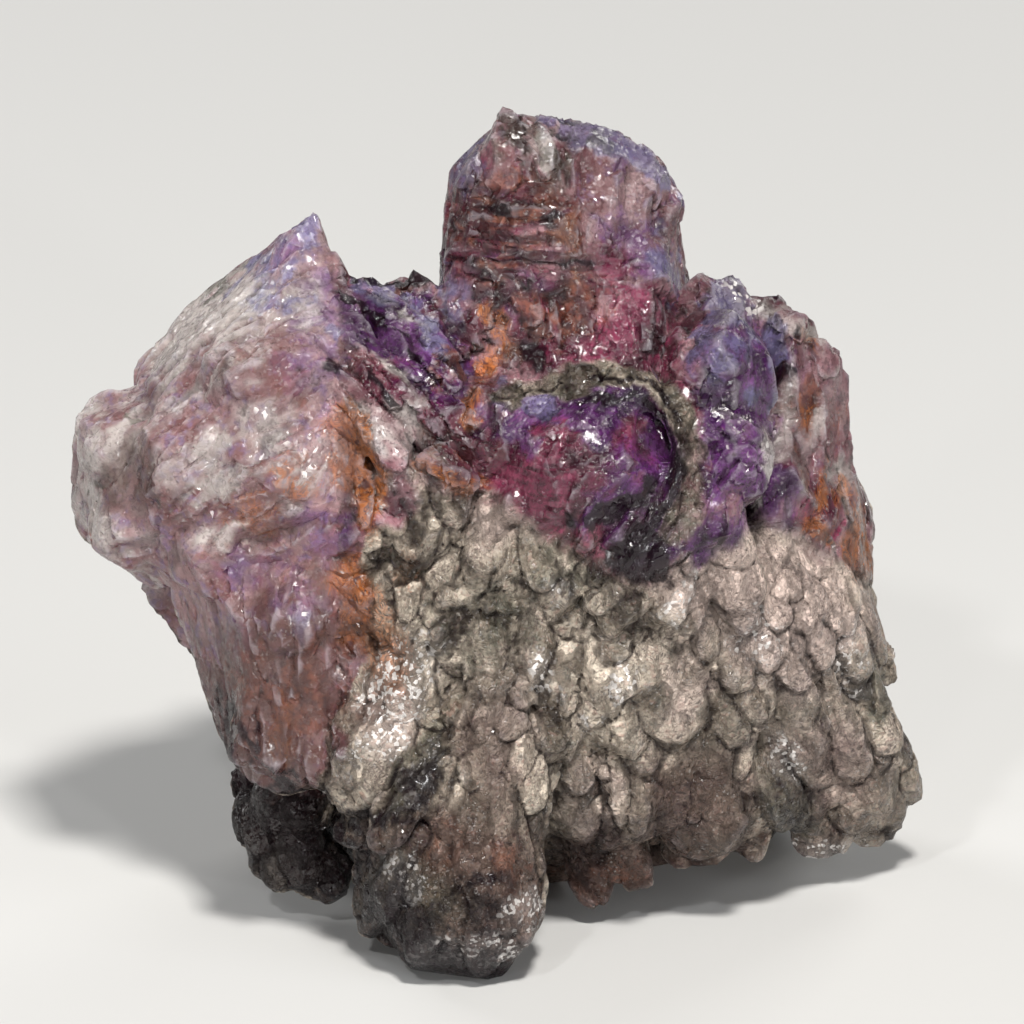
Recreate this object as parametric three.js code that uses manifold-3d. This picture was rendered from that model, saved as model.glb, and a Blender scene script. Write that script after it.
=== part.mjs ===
// A scepter amethyst cluster in one piece. A big violet crown and an overhanging violet head sit on a stem
// of many small quartz crystals that overlap like roof scales and point down. A milky crystal leans out on
// the left, a striped column stands on the right, and lobes hang at the foot. It broke off its rock along a
// flat base.
import * as THREE from "three";
import { ConvexGeometry } from "three/addons/geometries/ConvexGeometry.js";
import { mergeVertices } from "three/addons/utils/BufferGeometryUtils.js";
import Module from "manifold-3d";

const wasm = await Module();
wasm.setup();

// Driving dimensions, in millimetres and degrees. Places are written as [across, up, deep], the way someone
// who stands in front and looks down on the cluster sees them: across to the right, up in the tilted picture,
// deep straight back over the floor.
const VIEW_TILT = 20;
const FLOOR_LINE = 9.1; // how far up the picture the floor shows below the middle of the cluster
const SCALE_LONG = 17; // one crystal of the stem, from where it leaves the stem to its point
const SCALE_WIDE = 11;
const SCALE_THICK = 6;
const SCALE_ROW = 11; // from one row of the stem's crystals to the next
const STEM_MIDDLE = [3, 4]; // the stem's axis, as x and y
const FAR = 90; // rays that look for the surface start this far away, outside the cluster
const SKIN = "#8c8377";

const TILT = THREE.MathUtils.degToRad(VIEW_TILT);
const LOOK = new THREE.Vector3(0, Math.cos(TILT), -Math.sin(TILT));

/** A point from its place in the picture and its depth. */
function seen([across, up, deep]) {
  return new THREE.Vector3(across, deep, (up - FLOOR_LINE - deep * Math.sin(TILT)) / Math.cos(TILT));
}

/** A repeatable source of numbers from 0 to 1. */
function dice(seed) {
  let state = seed >>> 0;
  return () => {
    state = (state + 0x6d2b79f5) >>> 0;
    let t = Math.imul(state ^ (state >>> 15), state | 1);
    t ^= t + Math.imul(t ^ (t >>> 7), t | 61);
    return ((t ^ (t >>> 14)) >>> 0) / 2 ** 32;
  };
}

/** A closed geometry as a solid that can be joined and cut. */
function solidOf(geometry) {
  const WELD = 1e-4; // corners closer than this are one corner
  geometry.deleteAttribute("normal");
  geometry.deleteAttribute("uv");
  const merged = mergeVertices(geometry, WELD);
  const mesh = new wasm.Mesh({
    numProp: 3,
    vertProperties: merged.attributes.position.array,
    triVerts: new Uint32Array(merged.index.array),
  });
  return new wasm.Manifold(mesh);
}

/** A solid as a geometry. */
function geometryOf(solid) {
  const mesh = solid.getMesh();
  return new THREE.BufferGeometry()
    .setAttribute("position", new THREE.BufferAttribute(mesh.vertProperties, 3))
    .setIndex(new THREE.BufferAttribute(mesh.triVerts, 1));
}

/** All the solids grown into one, two by two so that each join stays small. */
function grown(solids) {
  let left = solids;
  while (left.length > 1) {
    const pairs = [];
    for (let i = 0; i < left.length; i += 2) {
      pairs.push(i + 1 < left.length ? left[i].add(left[i + 1]) : left[i]);
    }
    left = pairs;
  }
  return left[0];
}

/** A flat-faced block from its corners, as [across, up, deep]. */
function block(corners) {
  return solidOf(new ConvexGeometry(corners.map(seen)));
}

/** A rounded lump with flat faces. size is half its width, height and depth. */
function lump(at, size, seed, count) {
  const ROUGH = 0.12;
  const GOLDEN_ANGLE = Math.PI * (3 - Math.sqrt(5));
  const roll = dice(seed);
  const middle = seen(at);
  const corners = [];
  for (let i = 0; i < count; i++) {
    const height = 1 - (2 * (i + 0.5)) / count;
    const around = Math.sqrt(1 - height * height);
    const swell = 1 + ROUGH * (roll() - 0.5);
    const corner = new THREE.Vector3(
      size[0] * swell * around * Math.cos(GOLDEN_ANGLE * i),
      size[2] * swell * around * Math.sin(GOLDEN_ANGLE * i),
      size[1] * swell * height,
    );
    corners.push(corner.add(middle));
  }
  return solidOf(new ConvexGeometry(corners));
}

/**
 * A six-sided quartz crystal from its root to its point. outward is the way its broad face looks, shoulder is
 * how far along its length the point begins, and blunt turns the point into a short edge.
 */
function crystal({ root, tip, outward, wide, thick = wide, shoulder, blunt, seed }) {
  const [SIDES, ROUGH, ROOT_TAPER, STAGGER, LEAN, EDGE_DROP] = [6, 0.12, 0.86, 0.07, 0.3, 0.04];
  const roll = dice(seed);
  const along = new THREE.Vector3().subVectors(tip, root);
  const front = outward.clone().projectOnPlane(along.clone().normalize()).normalize();
  const side = new THREE.Vector3().crossVectors(front, along).normalize();
  const corner = (x, y, z) =>
    root
      .clone()
      .addScaledVector(side, (x * wide) / 2)
      .addScaledVector(front, (y * thick) / 2)
      .addScaledVector(along, z);
  const corners = [];
  for (let i = 0; i < SIDES; i++) {
    const angle = (2 * Math.PI * i) / SIDES;
    const swell = 1 + ROUGH * (roll() - 0.5);
    const [x, y] = [Math.cos(angle) * swell, Math.sin(angle) * swell];
    corners.push(corner(ROOT_TAPER * x, ROOT_TAPER * y, 0));
    corners.push(corner(x, y, shoulder + (i % 2 ? STAGGER : -STAGGER)));
  }
  const lean = LEAN * (roll() - 0.5);
  corners.push(corner(lean + blunt, 0, 1));
  if (blunt) corners.push(corner(lean - blunt, 0, 1 - EDGE_DROP));
  return solidOf(new ConvexGeometry(corners));
}

/** A crystal whose ends are given as [across, up, deep] and whose broad face looks at the viewer. */
function crystalSeen(root, tip, wide, { thick, shoulder = 0.7, blunt = 0.5, seed }) {
  const outward = LOOK.clone().negate();
  return crystal({ root: seen(root), tip: seen(tip), outward, wide, thick, shoulder, blunt, seed });
}

// The masses that everything else grows from.

function crown() {
  return grown([
    block([
      // the outline, from the left foot over the tip to the right foot
      [-5.2, 67, 0], [-5.3, 77, 0], [-4.2, 81.6, 1], [-1.8, 84.6, 2], [1.2, 86.6, 2], [5, 86.6, 3],
      [10.6, 85.2, 3], [14, 83.8, 3], [16.2, 81.8, 3], [17.8, 79.4, 3], [18.3, 75, 3], [19.2, 70, 2],
      // the broad front
      [-3.6, 58, -11], [-2.8, 73, -7], [2, 77.4, -9], [8, 77, -8], [7, 58, -13.5], [17, 58, -12],
      [16, 72, -6],
      // the back
      [-3.6, 66, 12], [0, 79, 13], [12, 77, 15], [18, 70, 12], [4, 56, 17], [18, 56, 15],
    ]),
    crystalSeen([2.4, 70, -7], [1.2, 88, -0.6], 6.6, { seed: 11, thick: 7, shoulder: 0.74, blunt: 0.3 }),
    crystalSeen([6.4, 69, -8], [6.2, 86.8, 0], 6.6, { seed: 14, shoulder: 0.8, blunt: 0.5 }),
    crystalSeen([9.8, 69, -7], [10.8, 85.6, 0], 6.6, { seed: 15, shoulder: 0.82, blunt: 0.6 }),
    crystalSeen([12, 67, -7], [14.8, 83.2, 0], 6, { seed: 16, shoulder: 0.84, blunt: 0.6 }),
    crystalSeen([13.6, 64, -8], [16.8, 79.6, 0], 5.4, { seed: 17, shoulder: 0.86, blunt: 0.6 }),
    crystalSeen([-1, 66, -8], [-1.4, 84.2, -1], 6, { seed: 13, thick: 7, shoulder: 0.76, blunt: 0.3 }),
    crystalSeen([-2, 58, -9], [-3.2, 78.4, -3], 4.8, { seed: 18, shoulder: 0.8, blunt: 0.4 }),
    crystalSeen([15, 74, -5], [12.4, 60, -13], 7.4, { seed: 19, thick: 5, shoulder: 0.7, blunt: 0.4 }),
  ]);
}

function leftCrystal() {
  return grown([
    block([
      [-18.2, 76.2, -1], [-17, 75.8, 0], [-15.4, 70.2, -3], [-21, 75.2, 3], [-29, 69.6, 5], [-36.3, 61.7, 5],
      [-33.6, 59, -8], [-23, 64, -12], [-14, 61, -14], [-13, 50, -18], [-34, 47, -13], [-31.6, 40.5, -12],
      [-16, 43, -19], [-25, 52, -17], [-32, 58, 14], [-19, 66, 14], [-31, 44, 15], [-14, 44, 17],
    ]),
    crystalSeen([-21.4, 68, -3], [-17.7, 77.3, -1], 5, { seed: 31, shoulder: 0.55, blunt: 0.2 }),
    crystalSeen([-14.8, 62, -7], [-17, 73.4, -3], 5.4, { seed: 32, shoulder: 0.55, blunt: 0.4 }),
    lump([-22.6, 60.6, -9.4], [7.4, 6, 6], 33, 20),
    lump([-20, 50.6, -14], [8.4, 6.4, 5.4], 35, 20),
    lump([-29, 52, -10.6], [7, 7.4, 5.6], 36, 20),
    lump([-27, 43.6, -11.6], [6.4, 5.6, 5.4], 37, 18),
    // the bulge at the far left
    block([
      [-39.4, 59.2, 0], [-41.8, 56.8, 0], [-42.5, 50.4, 0], [-41.8, 45.6, 0], [-38.4, 42.2, -2],
      [-34, 39.4, -5],
      [-32, 59, -7], [-32, 50, -14], [-37, 55.6, -7.6], [-39, 49.4, -8], [-30, 41, -13], [-36, 44, -8],
      [-37, 57, 8], [-40, 47, 7], [-31, 41, 9], [-30, 52, 10],
    ]),
    lump([-36.8, 54, -3.4], [5.2, 5.6, 6], 41, 18),
    lump([-35.6, 46.6, -5], [5.6, 5.6, 6], 42, 18),
  ]);
}

function leftColumn() {
  return grown([
    block([
      [-32.2, 38.4, -7], [-30.6, 43.5, -11], [-14.5, 45, -18.5], [-29.4, 31, -9], [-27, 24, -11],
      [-25.4, 20.8, -13.5], [-22, 19.3, -17], [-17, 19.6, -17.5], [-15.6, 24, -18], [-15.2, 34, -19.5],
      [-24.5, 36, -19.5], [-20.5, 25, -20.5], [-28, 40, 6], [-25, 23, 0], [-16, 22, 0], [-15, 44, 6],
    ]),
    crystalSeen([-21.4, 42, -14], [-23.4, 21, -17.6], 7, { seed: 51, thick: 8, shoulder: 0.85, blunt: 0.7 }),
    crystalSeen([-18, 42, -15], [-18, 20, -18.2], 5.6, { seed: 52, thick: 8, shoulder: 0.88, blunt: 0.6 }),
    lump([-19.4, 37.6, -16], [5.6, 5.6, 5.4], 53, 20),
    // smoky little crystals behind it, down the left edge
    crystalSeen([-24, 31, 2], [-28, 30.4, 0], 5.4, { seed: 55, shoulder: 0.5, blunt: 0.5 }),
    crystalSeen([-23, 25.6, 2], [-27.2, 25, 0], 6.4, { seed: 56, shoulder: 0.5, blunt: 0.6 }),
    crystalSeen([-22, 20.4, 1], [-27, 19.6, -1], 5.4, { seed: 57, shoulder: 0.5, blunt: 0.5 }),
  ]);
}

function saddle() {
  // ridges side by side, as [from, to, wide], that run down to the right
  const RIDGES = [
    [[-15.6, 61.4, -12], [-8.6, 51.6, -18.6], 5],
    [[-15.6, 66, -8.6], [-6.6, 55.4, -17.4], 4.4],
    [[-13.4, 69, -4.4], [-2.8, 58.6, -15.4], 5],
    [[-8.4, 69.8, -2.6], [-1.2, 63.6, -12], 4.8],
    [[-12.6, 56.6, -16], [-6.6, 45.8, -19.8], 5],
  ];
  return grown([
    block([
      [-16, 69, 0], [-10, 69.4, 0], [-5, 68.4, 0], [-5, 68, 12], [-16, 68, 11], [-16, 60, -10], [-2, 60, -12],
      [-14, 46, -18.5], [1, 44, -20], [-12, 42, 20], [2, 42, 21],
    ]),
    crystalSeen([-7, 62, 2], [-9.5, 70.8, 2], 6, { seed: 61, shoulder: 0.7, blunt: 0.5 }),
    crystalSeen([-3, 60, -6], [-5.6, 69.4, -1], 5.4, { seed: 62, shoulder: 0.7, blunt: 0.5 }),
    ...RIDGES.map(([from, to, wide], i) =>
      crystalSeen(from, to, wide, { seed: 63 + i, thick: 4.4, shoulder: 0.76, blunt: 0.4 }),
    ),
    lump([0, 55.4, -14], [4, 5, 5], 69, 18),
    // the amber groove between the left column and the stem
    lump([-12.6, 46.4, -16.6], [4, 5, 4.4], 85, 18),
    lump([-11.4, 38.6, -16.4], [4.4, 5.4, 4.4], 86, 18),
    lump([-13.8, 31.4, -17], [3.6, 7, 3.6], 87, 12),
    // the rusty little crystals between the ridges and the head
    lump([-5, 56.4, -15], [4.4, 4.4, 3.6], 88, 12),
  ]);
}

function violetHead() {
  return grown([
    lump([8.6, 51.8, -11], [10.6, 10.6, 11], 71, 28),
    lump([3.5, 48.5, -13.6], [6.5, 6, 7], 72, 22),
    // the glassy keel that overhangs the stem on the right
    block([
      [18, 66, -7], [23, 69.6, -1], [25.4, 68.6, 1], [27.4, 66, 1], [28, 60.5, -1], [27.6, 55, -4],
      [26, 50, -8], [16, 41.6, -17], [15, 50, -19], [26, 66, 14], [28, 50, 14], [14, 38, 0], [4, 60, 6],
      [2, 44, 6],
    ]),
    lump([22, 60.4, -9.4], [5.8, 7, 7], 73, 22),
    lump([22.6, 53.4, -12.4], [5.2, 6.4, 6.6], 74, 22),
    lump([20.4, 47.6, -14.6], [5, 5.4, 6.4], 75, 20),
    lump([16.6, 44.2, -16.4], [4.8, 3.8, 6], 76, 20),
    crystalSeen([22, 62, -4], [24.2, 70.8, 0], 4.4, { seed: 77, shoulder: 0.72, blunt: 0.4 }),
    crystalSeen([20, 62, -7], [21, 71, -1], 4.4, { seed: 78, shoulder: 0.72, blunt: 0.5 }),
    crystalSeen([19, 58, -13], [19.4, 66, -9], 5.4, { seed: 79, shoulder: 0.6, blunt: 0.6 }),
    // long dark facets low on the head
    crystalSeen([13.6, 53, -19], [7.5, 43, -20.4], 4, { seed: 80, shoulder: 0.8, blunt: 0.3 }),
    crystalSeen([16.4, 52, -18.4], [11.6, 42, -21], 4, { seed: 81, shoulder: 0.8, blunt: 0.3 }),
    // rusty little crystals beside it
    crystalSeen([-1.2, 55, -15.6], [-0.8, 60.4, -16.4], 3, { seed: 82, shoulder: 0.8, blunt: 0.6 }),
    crystalSeen([-2.4, 49.6, -18], [-7, 53.2, -19.4], 4, { seed: 83, shoulder: 0.7, blunt: 0.6 }),
  ]);
}

/** The raised crust that arches over the violet head. */
function rim() {
  const path = new THREE.CatmullRomCurve3(
    [
      [0.4, 59.4, -13.6], [4.5, 60.4, -13.8], [10.5, 61.2, -13.6], [15.6, 59.4, -14.6], [18.6, 55.4, -16.6],
      [19, 51, -18], [17.4, 47, -19.4],
    ].map(seen),
  );
  const section = new THREE.Shape();
  const [RIM_HALF_WIDE, RIM_HALF_TALL, SECTION_SIDES, RIM_STEPS] = [2.2, 2, 5, 8];
  for (let i = 0; i < SECTION_SIDES; i++) {
    const angle = (2 * Math.PI * i) / SECTION_SIDES;
    const [x, y] = [RIM_HALF_WIDE * Math.cos(angle), RIM_HALF_TALL * Math.sin(angle)];
    if (i) section.lineTo(x, y);
    else section.moveTo(x, y);
  }
  const sweep = { extrudePath: path, steps: RIM_STEPS, bevelEnabled: false };
  return solidOf(new THREE.ExtrudeGeometry(section, sweep));
}

function rightColumn() {
  return grown([
    block([
      [25, 68.4, 3], [28, 68.4, 3], [31, 66, 4], [33.4, 62.6, 4], [34.2, 57, 3], [35.2, 49.5, 2],
      [37.2, 43, 3], [37.6, 39, 4], [29, 66, -2], [31, 50, -6], [29, 41, -11], [36, 41, -4],
      [26, 66, 15], [33, 59, 15],
      [36, 40, 18], [20, 40, 20], [16, 60, 14],
    ]),
    // the pink foot of the column, beside the keel
    lump([28.4, 49.4, -6], [3.4, 7, 3.6], 94, 11),
    // stripes: narrow crystals standing side by side
    crystalSeen([28.6, 42, -8], [28.8, 67.6, -0.5], 4, { seed: 91, shoulder: 0.9, blunt: 0.5 }),
    crystalSeen([32, 42, -6.6], [31.6, 65, 0], 3.8, { seed: 92, shoulder: 0.9, blunt: 0.5 }),
    crystalSeen([35, 41, -3.4], [33.2, 61.6, 1], 3.4, { seed: 93, shoulder: 0.92, blunt: 0.5 }),
    // the pale broken crust on its top
    crystalSeen([27, 63, 0], [27, 69.2, 1], 4, { seed: 95, shoulder: 0.7, blunt: 0.7 }),
    crystalSeen([29.6, 61, 0], [30, 67, 1], 4.4, { seed: 96, shoulder: 0.7, blunt: 0.7 }),
    crystalSeen([31.4, 59, 0], [33.2, 64.2, 1], 4.4, { seed: 97, shoulder: 0.7, blunt: 0.7 }),
  ]);
}

function stem() {
  return grown([
    block([
      [-14, 46, -16], [4, 44, -17], [20, 42, -15], [30, 46, -9.5], [34.4, 43, -2], [34, 44, 15],
      [-12, 46, 18],
      [-15.5, 33, -17], [3, 32, -20.5], [22, 31, -16], [33.4, 34, -5], [37.2, 34, 4], [35, 34, 19],
      [-17, 34, 20], [-15, 20, -13], [-4, 18, -18], [8, 17, -14], [24, 18, -7], [34, 20, 2], [37.6, 22, 8],
      [35, 20, 20], [-19, 20, 20], [-21, 17, 2], [4, 34, 25], [22, 32, 24], [6, 20, 27], [24, 18, 26],
      [10, 14, -4], [24, 15, 3], [-17, 11, 4], [-10, 9, -7], [-13, 14, 20],
    ]),
    // the foot, which goes below the floor line and is cut flat there
    block([
      [-15, 8, 3], [-6, 6, 0], [8, 6, 4], [16, 9, 9], [27, 10, 14], [29, 12, 21], [12, 14, 26], [-12, 13, 21],
      [-18, 22, 4], [-8, 24, -6], [16, 24, -2], [31, 24, 10], [29, 24, 24], [-15, 24, 22],
    ]),
    lump([35, 22, 4], [7, 9, 8.6], 101, 18),
    lump([23, 21, -3.4], [8.6, 8, 9], 102, 18),
    lump([12, 21, -9], [8.6, 8.6, 9], 103, 18),
    lump([34, 35, 2], [5.4, 9, 8.6], 104, 16),
    lump([24, 37, -7.6], [9, 9, 8], 105, 18),
    lump([11, 34, -13], [9, 8, 8.6], 106, 18),
    lump([-3, 40, -13.6], [9, 8, 8.4], 107, 18),
    // rusty teeth and knobs along the lower edge in front
    crystalSeen([8.4, 17, -8], [10.2, 7.2, -10.4], 5, { seed: 141, shoulder: 0.6, blunt: 0.4 }),
    crystalSeen([12.4, 17, -8], [14.6, 9, -10], 5, { seed: 142, shoulder: 0.6, blunt: 0.5 }),
    crystalSeen([19.8, 19, -5], [20.6, 11.4, -8.6], 8, { seed: 144, shoulder: 0.7, blunt: 0.6 }),
    crystalSeen([25, 18, -4], [26, 11.6, -6.6], 4.4, { seed: 145, shoulder: 0.6, blunt: 0.4 }),
    crystalSeen([32.6, 22, 2], [33.4, 12.2, 0], 7, { seed: 146, shoulder: 0.7, blunt: 0.6 }),
    crystalSeen([37, 23, 4], [38.8, 13.2, 3], 6.4, { seed: 147, shoulder: 0.7, blunt: 0.6 }),
    crystalSeen([38, 27, 4], [41.6, 17.4, 4], 6, { seed: 148, shoulder: 0.7, blunt: 0.5 }),
    crystalSeen([37, 34, 4], [41, 29.8, 4], 3.6, { seed: 149, shoulder: 0.6, blunt: 0.2 }),
  ]);
}

function footLobes() {
  return grown([
    lump([-3.6, 10.6, -20.4], [9.4, 11.2, 9.6], 111, 28),
    lump([-2.4, 20, -18.6], [9.4, 12, 8.6], 112, 24),
    crystalSeen([-10, 20, -18], [-10.6, 3.4, -18.8], 8, { seed: 113, shoulder: 0.7, blunt: 0.6 }),
    crystalSeen([0.4, 26, -18], [0.2, 4.6, -21], 8.4, { seed: 114, shoulder: 0.82, blunt: 0.6 }),
    // the glittering lumps and the dark crystal below them
    crystalSeen([-6, 34.5, -18], [-15.6, 17.8, -20], 8, { seed: 115, thick: 8, shoulder: 0.75, blunt: 0.6 }),
    lump([-8.4, 30.6, -19.6], [4, 4, 4], 116, 16),
    lump([-12.6, 24.6, -20.6], [4, 4.2, 3.8], 117, 16),
    crystalSeen([-4.6, 24, -22.4], [-12.2, 13.6, -25.6], 5, { seed: 119, shoulder: 0.7, blunt: 0.3 }),
    crystalSeen([-5, 18.5, -20], [-16.6, 15, -19.6], 5.4, { seed: 120, shoulder: 0.7, blunt: 0.4 }),
    // smoky lobes at the left of the foot
    lump([-24.2, 16.4, -5], [3, 3.4, 4], 121, 16),
    lump([-20.6, 13.4, -7.4], [5, 4.8, 5], 122, 18),
    lump([-20, 18.6, -9], [5, 4, 5], 124, 16),
    lump([-17.4, 11.4, -8.4], [4, 3.4, 4.4], 123, 16),
  ]);
}

/** Rounded heads of other crystals at the back. */
function backHeads() {
  return grown([
    block([
      [-30, 62, 8], [-22, 68, 8], [-8, 66, 8], [-28, 46, 20], [-8, 46, 25], [-18, 60, 19], [-6, 60, 20],
      [-33, 50, 10], [-20, 38, 21], [-6, 36, 23], [-26, 40, 8],
    ]),
    block([
      [0, 68, 14], [12, 68, 17], [26, 62, 12], [30, 50, 18], [0, 50, 26], [16, 48, 27], [10, 60, 24],
      [28, 38, 20], [4, 36, 26], [-4, 50, 20],
    ]),
    lump([-20, 57, 16], [8, 8, 7], 131, 16),
    lump([9, 57, 20], [9, 9, 7], 133, 16),
    lump([-8, 45, 22], [9, 9, 6], 135, 16),
    lump([22, 45, 20], [8, 9, 7], 136, 16),
  ]);
}

// Small crystals are set on the masses: they leave the surface at one place and point to another.

/** Finds the surface of a solid along a ray. */
function prober(solid) {
  const mesh = new THREE.Mesh(geometryOf(solid), new THREE.MeshBasicMaterial());
  const ray = new THREE.Raycaster();
  return (from, direction) => {
    ray.set(from, direction);
    const [hit] = ray.intersectObject(mesh);
    return hit && { point: hit.point, outward: hit.face.normal };
  };
}

/** The ray of someone in front who looks at [across, up]. */
function frontRay(across, up) {
  return [seen([across, up, -FAR]), LOOK];
}

/** A level ray towards the stem's axis, at a height, from a compass angle in degrees. 0 is the front. */
function sideRay(angle, height) {
  const a = THREE.MathUtils.degToRad(angle);
  const inward = new THREE.Vector3(-Math.sin(a), Math.cos(a), 0);
  const from = new THREE.Vector3(STEM_MIDDLE[0], STEM_MIDDLE[1], height).addScaledVector(inward, -FAR);
  return [from, inward];
}

/** A small crystal that leaves the surface at one hit and points over another. */
function scaleBetween(rootHit, tipHit, { wide, thick, lift, seed }) {
  const [BURIED, SHOULDER] = [0.45, 0.66];
  const outward = rootHit.outward.clone().add(tipHit.outward).normalize();
  const root = rootHit.point.clone().addScaledVector(outward, -BURIED * thick);
  const tip = tipHit.point.clone().addScaledVector(outward, lift);
  return crystal({ root, tip, outward, wide, thick, shoulder: SHOULDER, blunt: 0, seed });
}

// The stem's crystals that show best in front, as [across, up, long, wide, heading]. across and up are where
// the crystal leaves the stem. Heading is in degrees from straight down, and positive to the right.
const FRONT_SCALES = [
  // below the foot of the head
  [-6, 50.6, 10, 7.6, -16], [0.2, 47.6, 9.4, 7.6, -10], [6, 45.2, 9, 7.4, -4], [11.6, 43.8, 9, 7, 2],
  [17.4, 43.4, 9.6, 7, 8], [23, 45, 10, 6.4, 12], [28, 45.6, 11, 6.4, 14], [32.4, 45, 11, 6, 14],
  // the upper middle
  [-5.8, 42.2, 10.4, 7.6, -20], [-0.4, 40.4, 10, 7.2, -14], [5, 38.4, 9.6, 7.4, -8], [10.4, 37.2, 9, 6.6, -2],
  [15.4, 36.8, 9.6, 6.8, 4], [20.6, 37.6, 9.6, 6.8, 10], [25.4, 38.8, 9.6, 6.4, 16],
  [30, 38.4, 10.4, 6.4, 18], [34.6, 38.2, 11, 6, 18],
  // the middle
  [1.8, 33, 9.4, 6.8, -14], [7, 31.4, 9, 6.6, -6], [12, 30.4, 8.4, 6.2, 4], [17.4, 30.6, 9, 7.2, 8],
  [22.6, 32.4, 10, 6, 18], [27.4, 32, 11.6, 6.8, 22], [32, 32.6, 13, 7, 20], [37, 31, 10, 6, 20],
  // the low front
  [8, 25.4, 9, 6.8, -6], [13, 25, 8.6, 6, 8], [20.4, 25.6, 13, 11, 8], [27.4, 26, 12, 8, 22],
  [34, 25.6, 10.6, 7.4, 16], [38.2, 25.6, 9.6, 6.4, 24],
];

function frontScales(probe) {
  const [THICK_SHARE, THICK_LEAST, LIFT, LIFT_SPREAD] = [0.6, 1, 0.5, 0.7];
  const roll = dice(201);
  const solids = [];
  FRONT_SCALES.forEach(([across, up, long, wide, heading], i) => {
    const turn = THREE.MathUtils.degToRad(heading);
    const rootHit = probe(...frontRay(across, up));
    const tipHit = probe(...frontRay(across + long * Math.sin(turn), up - long * Math.cos(turn)));
    if (!rootHit || !tipHit) return;
    const thick = THICK_SHARE * wide + THICK_LEAST;
    const lift = LIFT + LIFT_SPREAD * roll();
    solids.push(scaleBetween(rootHit, tipHit, { wide, thick, lift, seed: 300 + i }));
  });
  return solids;
}

/** Rows of crystals round the sides and back of the stem, each pointing down over the row below. */
function sideScales(probe) {
  const [LOWEST, HIGHEST, FIRST_TURN, LAST_TURN, STEM_ROUND] = [8, 45, 84, 284, 32];
  const [SPACING, BREADTH, ABOVE, BELOW, LONGEST] = [1.28, 1.2, 0.3, 0.55, 1.6];
  const [TURN_SPREAD, HEIGHT_SPREAD, LEAN_SPREAD] = [7, 0.4, 14];
  const [SIZE_LEAST, SIZE_SPREAD, LIFT_LEAST, LIFT_SPREAD] = [0.78, 0.5, 0.3, 0.9];
  const roll = dice(405);
  const spread = (width) => width * (roll() - 0.5);
  const step = THREE.MathUtils.radToDeg((SPACING * SCALE_WIDE) / STEM_ROUND);
  const solids = [];
  for (let row = 0; LOWEST + row * SCALE_ROW <= HIGHEST; row++) {
    for (let angle = FIRST_TURN + (row % 2 ? step / 2 : 0); angle < LAST_TURN; angle += step) {
      const turn = angle + spread(TURN_SPREAD);
      const size = SIZE_LEAST + SIZE_SPREAD * roll();
      const height = LOWEST + row * SCALE_ROW + spread(HEIGHT_SPREAD * SCALE_ROW);
      const rootHit = probe(...sideRay(turn, height + SCALE_LONG * ABOVE));
      const tipHit = probe(...sideRay(turn + spread(LEAN_SPREAD), height - SCALE_LONG * BELOW * size));
      if (!rootHit || !tipHit || rootHit.point.distanceTo(tipHit.point) > LONGEST * SCALE_LONG) continue;
      const wide = BREADTH * SCALE_WIDE * size;
      const lift = LIFT_LEAST + LIFT_SPREAD * roll();
      const seed = 500 + solids.length;
      solids.push(scaleBetween(rootHit, tipHit, { wide, thick: SCALE_THICK * size, lift, seed }));
    }
  }
  return solids;
}

/** Stout crystals that stand out of the back of the upper masses. */
function backCrystals(probe) {
  const [LOWEST, HIGHEST, LEVEL, FIRST_TURN, LAST_TURN, TURN] = [54, 70, 11, 135, 226, 30];
  const [TURN_SPREAD, HEIGHT_SPREAD, BURIED] = [12, 5, 4];
  const [OUTWARD, RISE_LEAST, RISE_SPREAD, LONG_LEAST, LONG_SPREAD] = [0.9, 0.5, 0.6, 3.4, 2.4];
  const [WIDE_LEAST, WIDE_SPREAD, SHOULDER, BLUNT] = [9, 4, 0.6, 0.25];
  const roll = dice(601);
  const solids = [];
  for (let row = 0; LOWEST + row * LEVEL <= HIGHEST; row++) {
    for (let angle = FIRST_TURN + (row % 2) * (TURN / 2); angle < LAST_TURN; angle += TURN) {
      const height = LOWEST + row * LEVEL + HEIGHT_SPREAD * roll();
      const hit = probe(...sideRay(angle + TURN_SPREAD * roll(), height));
      if (!hit) continue;
      const rise = new THREE.Vector3(0, 0, RISE_LEAST + RISE_SPREAD * roll());
      const along = hit.outward.clone().multiplyScalar(OUTWARD).add(rise).normalize();
      const root = hit.point.clone().addScaledVector(hit.outward, -BURIED);
      const tip = hit.point.clone().addScaledVector(along, LONG_LEAST + LONG_SPREAD * roll());
      const sizes = { wide: WIDE_LEAST + WIDE_SPREAD * roll(), shoulder: SHOULDER, blunt: BLUNT };
      solids.push(crystal({ root, tip, outward: hit.outward, ...sizes, seed: 700 + solids.length }));
    }
  }
  return solids;
}

/** Everything above the floor, cut flat where the cluster broke off its rock. */
function cutAtFloor(solid) {
  const [ROOM, DEPTH] = [200, 60];
  const below = new THREE.BoxGeometry(ROOM, ROOM, DEPTH).translate(0, 0, -DEPTH / 2);
  return solid.subtract(solidOf(below));
}

/** The whole cluster as one body that stands on z = 0, with the middle of its box over the origin. */
function cluster() {
  const masses = grown([
    crown(),
    leftCrystal(),
    leftColumn(),
    saddle(),
    violetHead(),
    rim(),
    rightColumn(),
    stem(),
    footLobes(),
    backHeads(),
  ]);
  const probe = prober(masses);
  const small = [...frontScales(probe), ...sideScales(probe), ...backCrystals(probe)];
  const bodies = cutAtFloor(grown([masses, ...small])).decompose();
  const largest = bodies.reduce((a, b) => (a.volume() > b.volume() ? a : b));
  const geometry = geometryOf(largest);
  geometry.computeBoundingBox();
  const middle = geometry.boundingBox.getCenter(new THREE.Vector3());
  return geometry.translate(-middle.x, -middle.y, 0);
}

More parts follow.
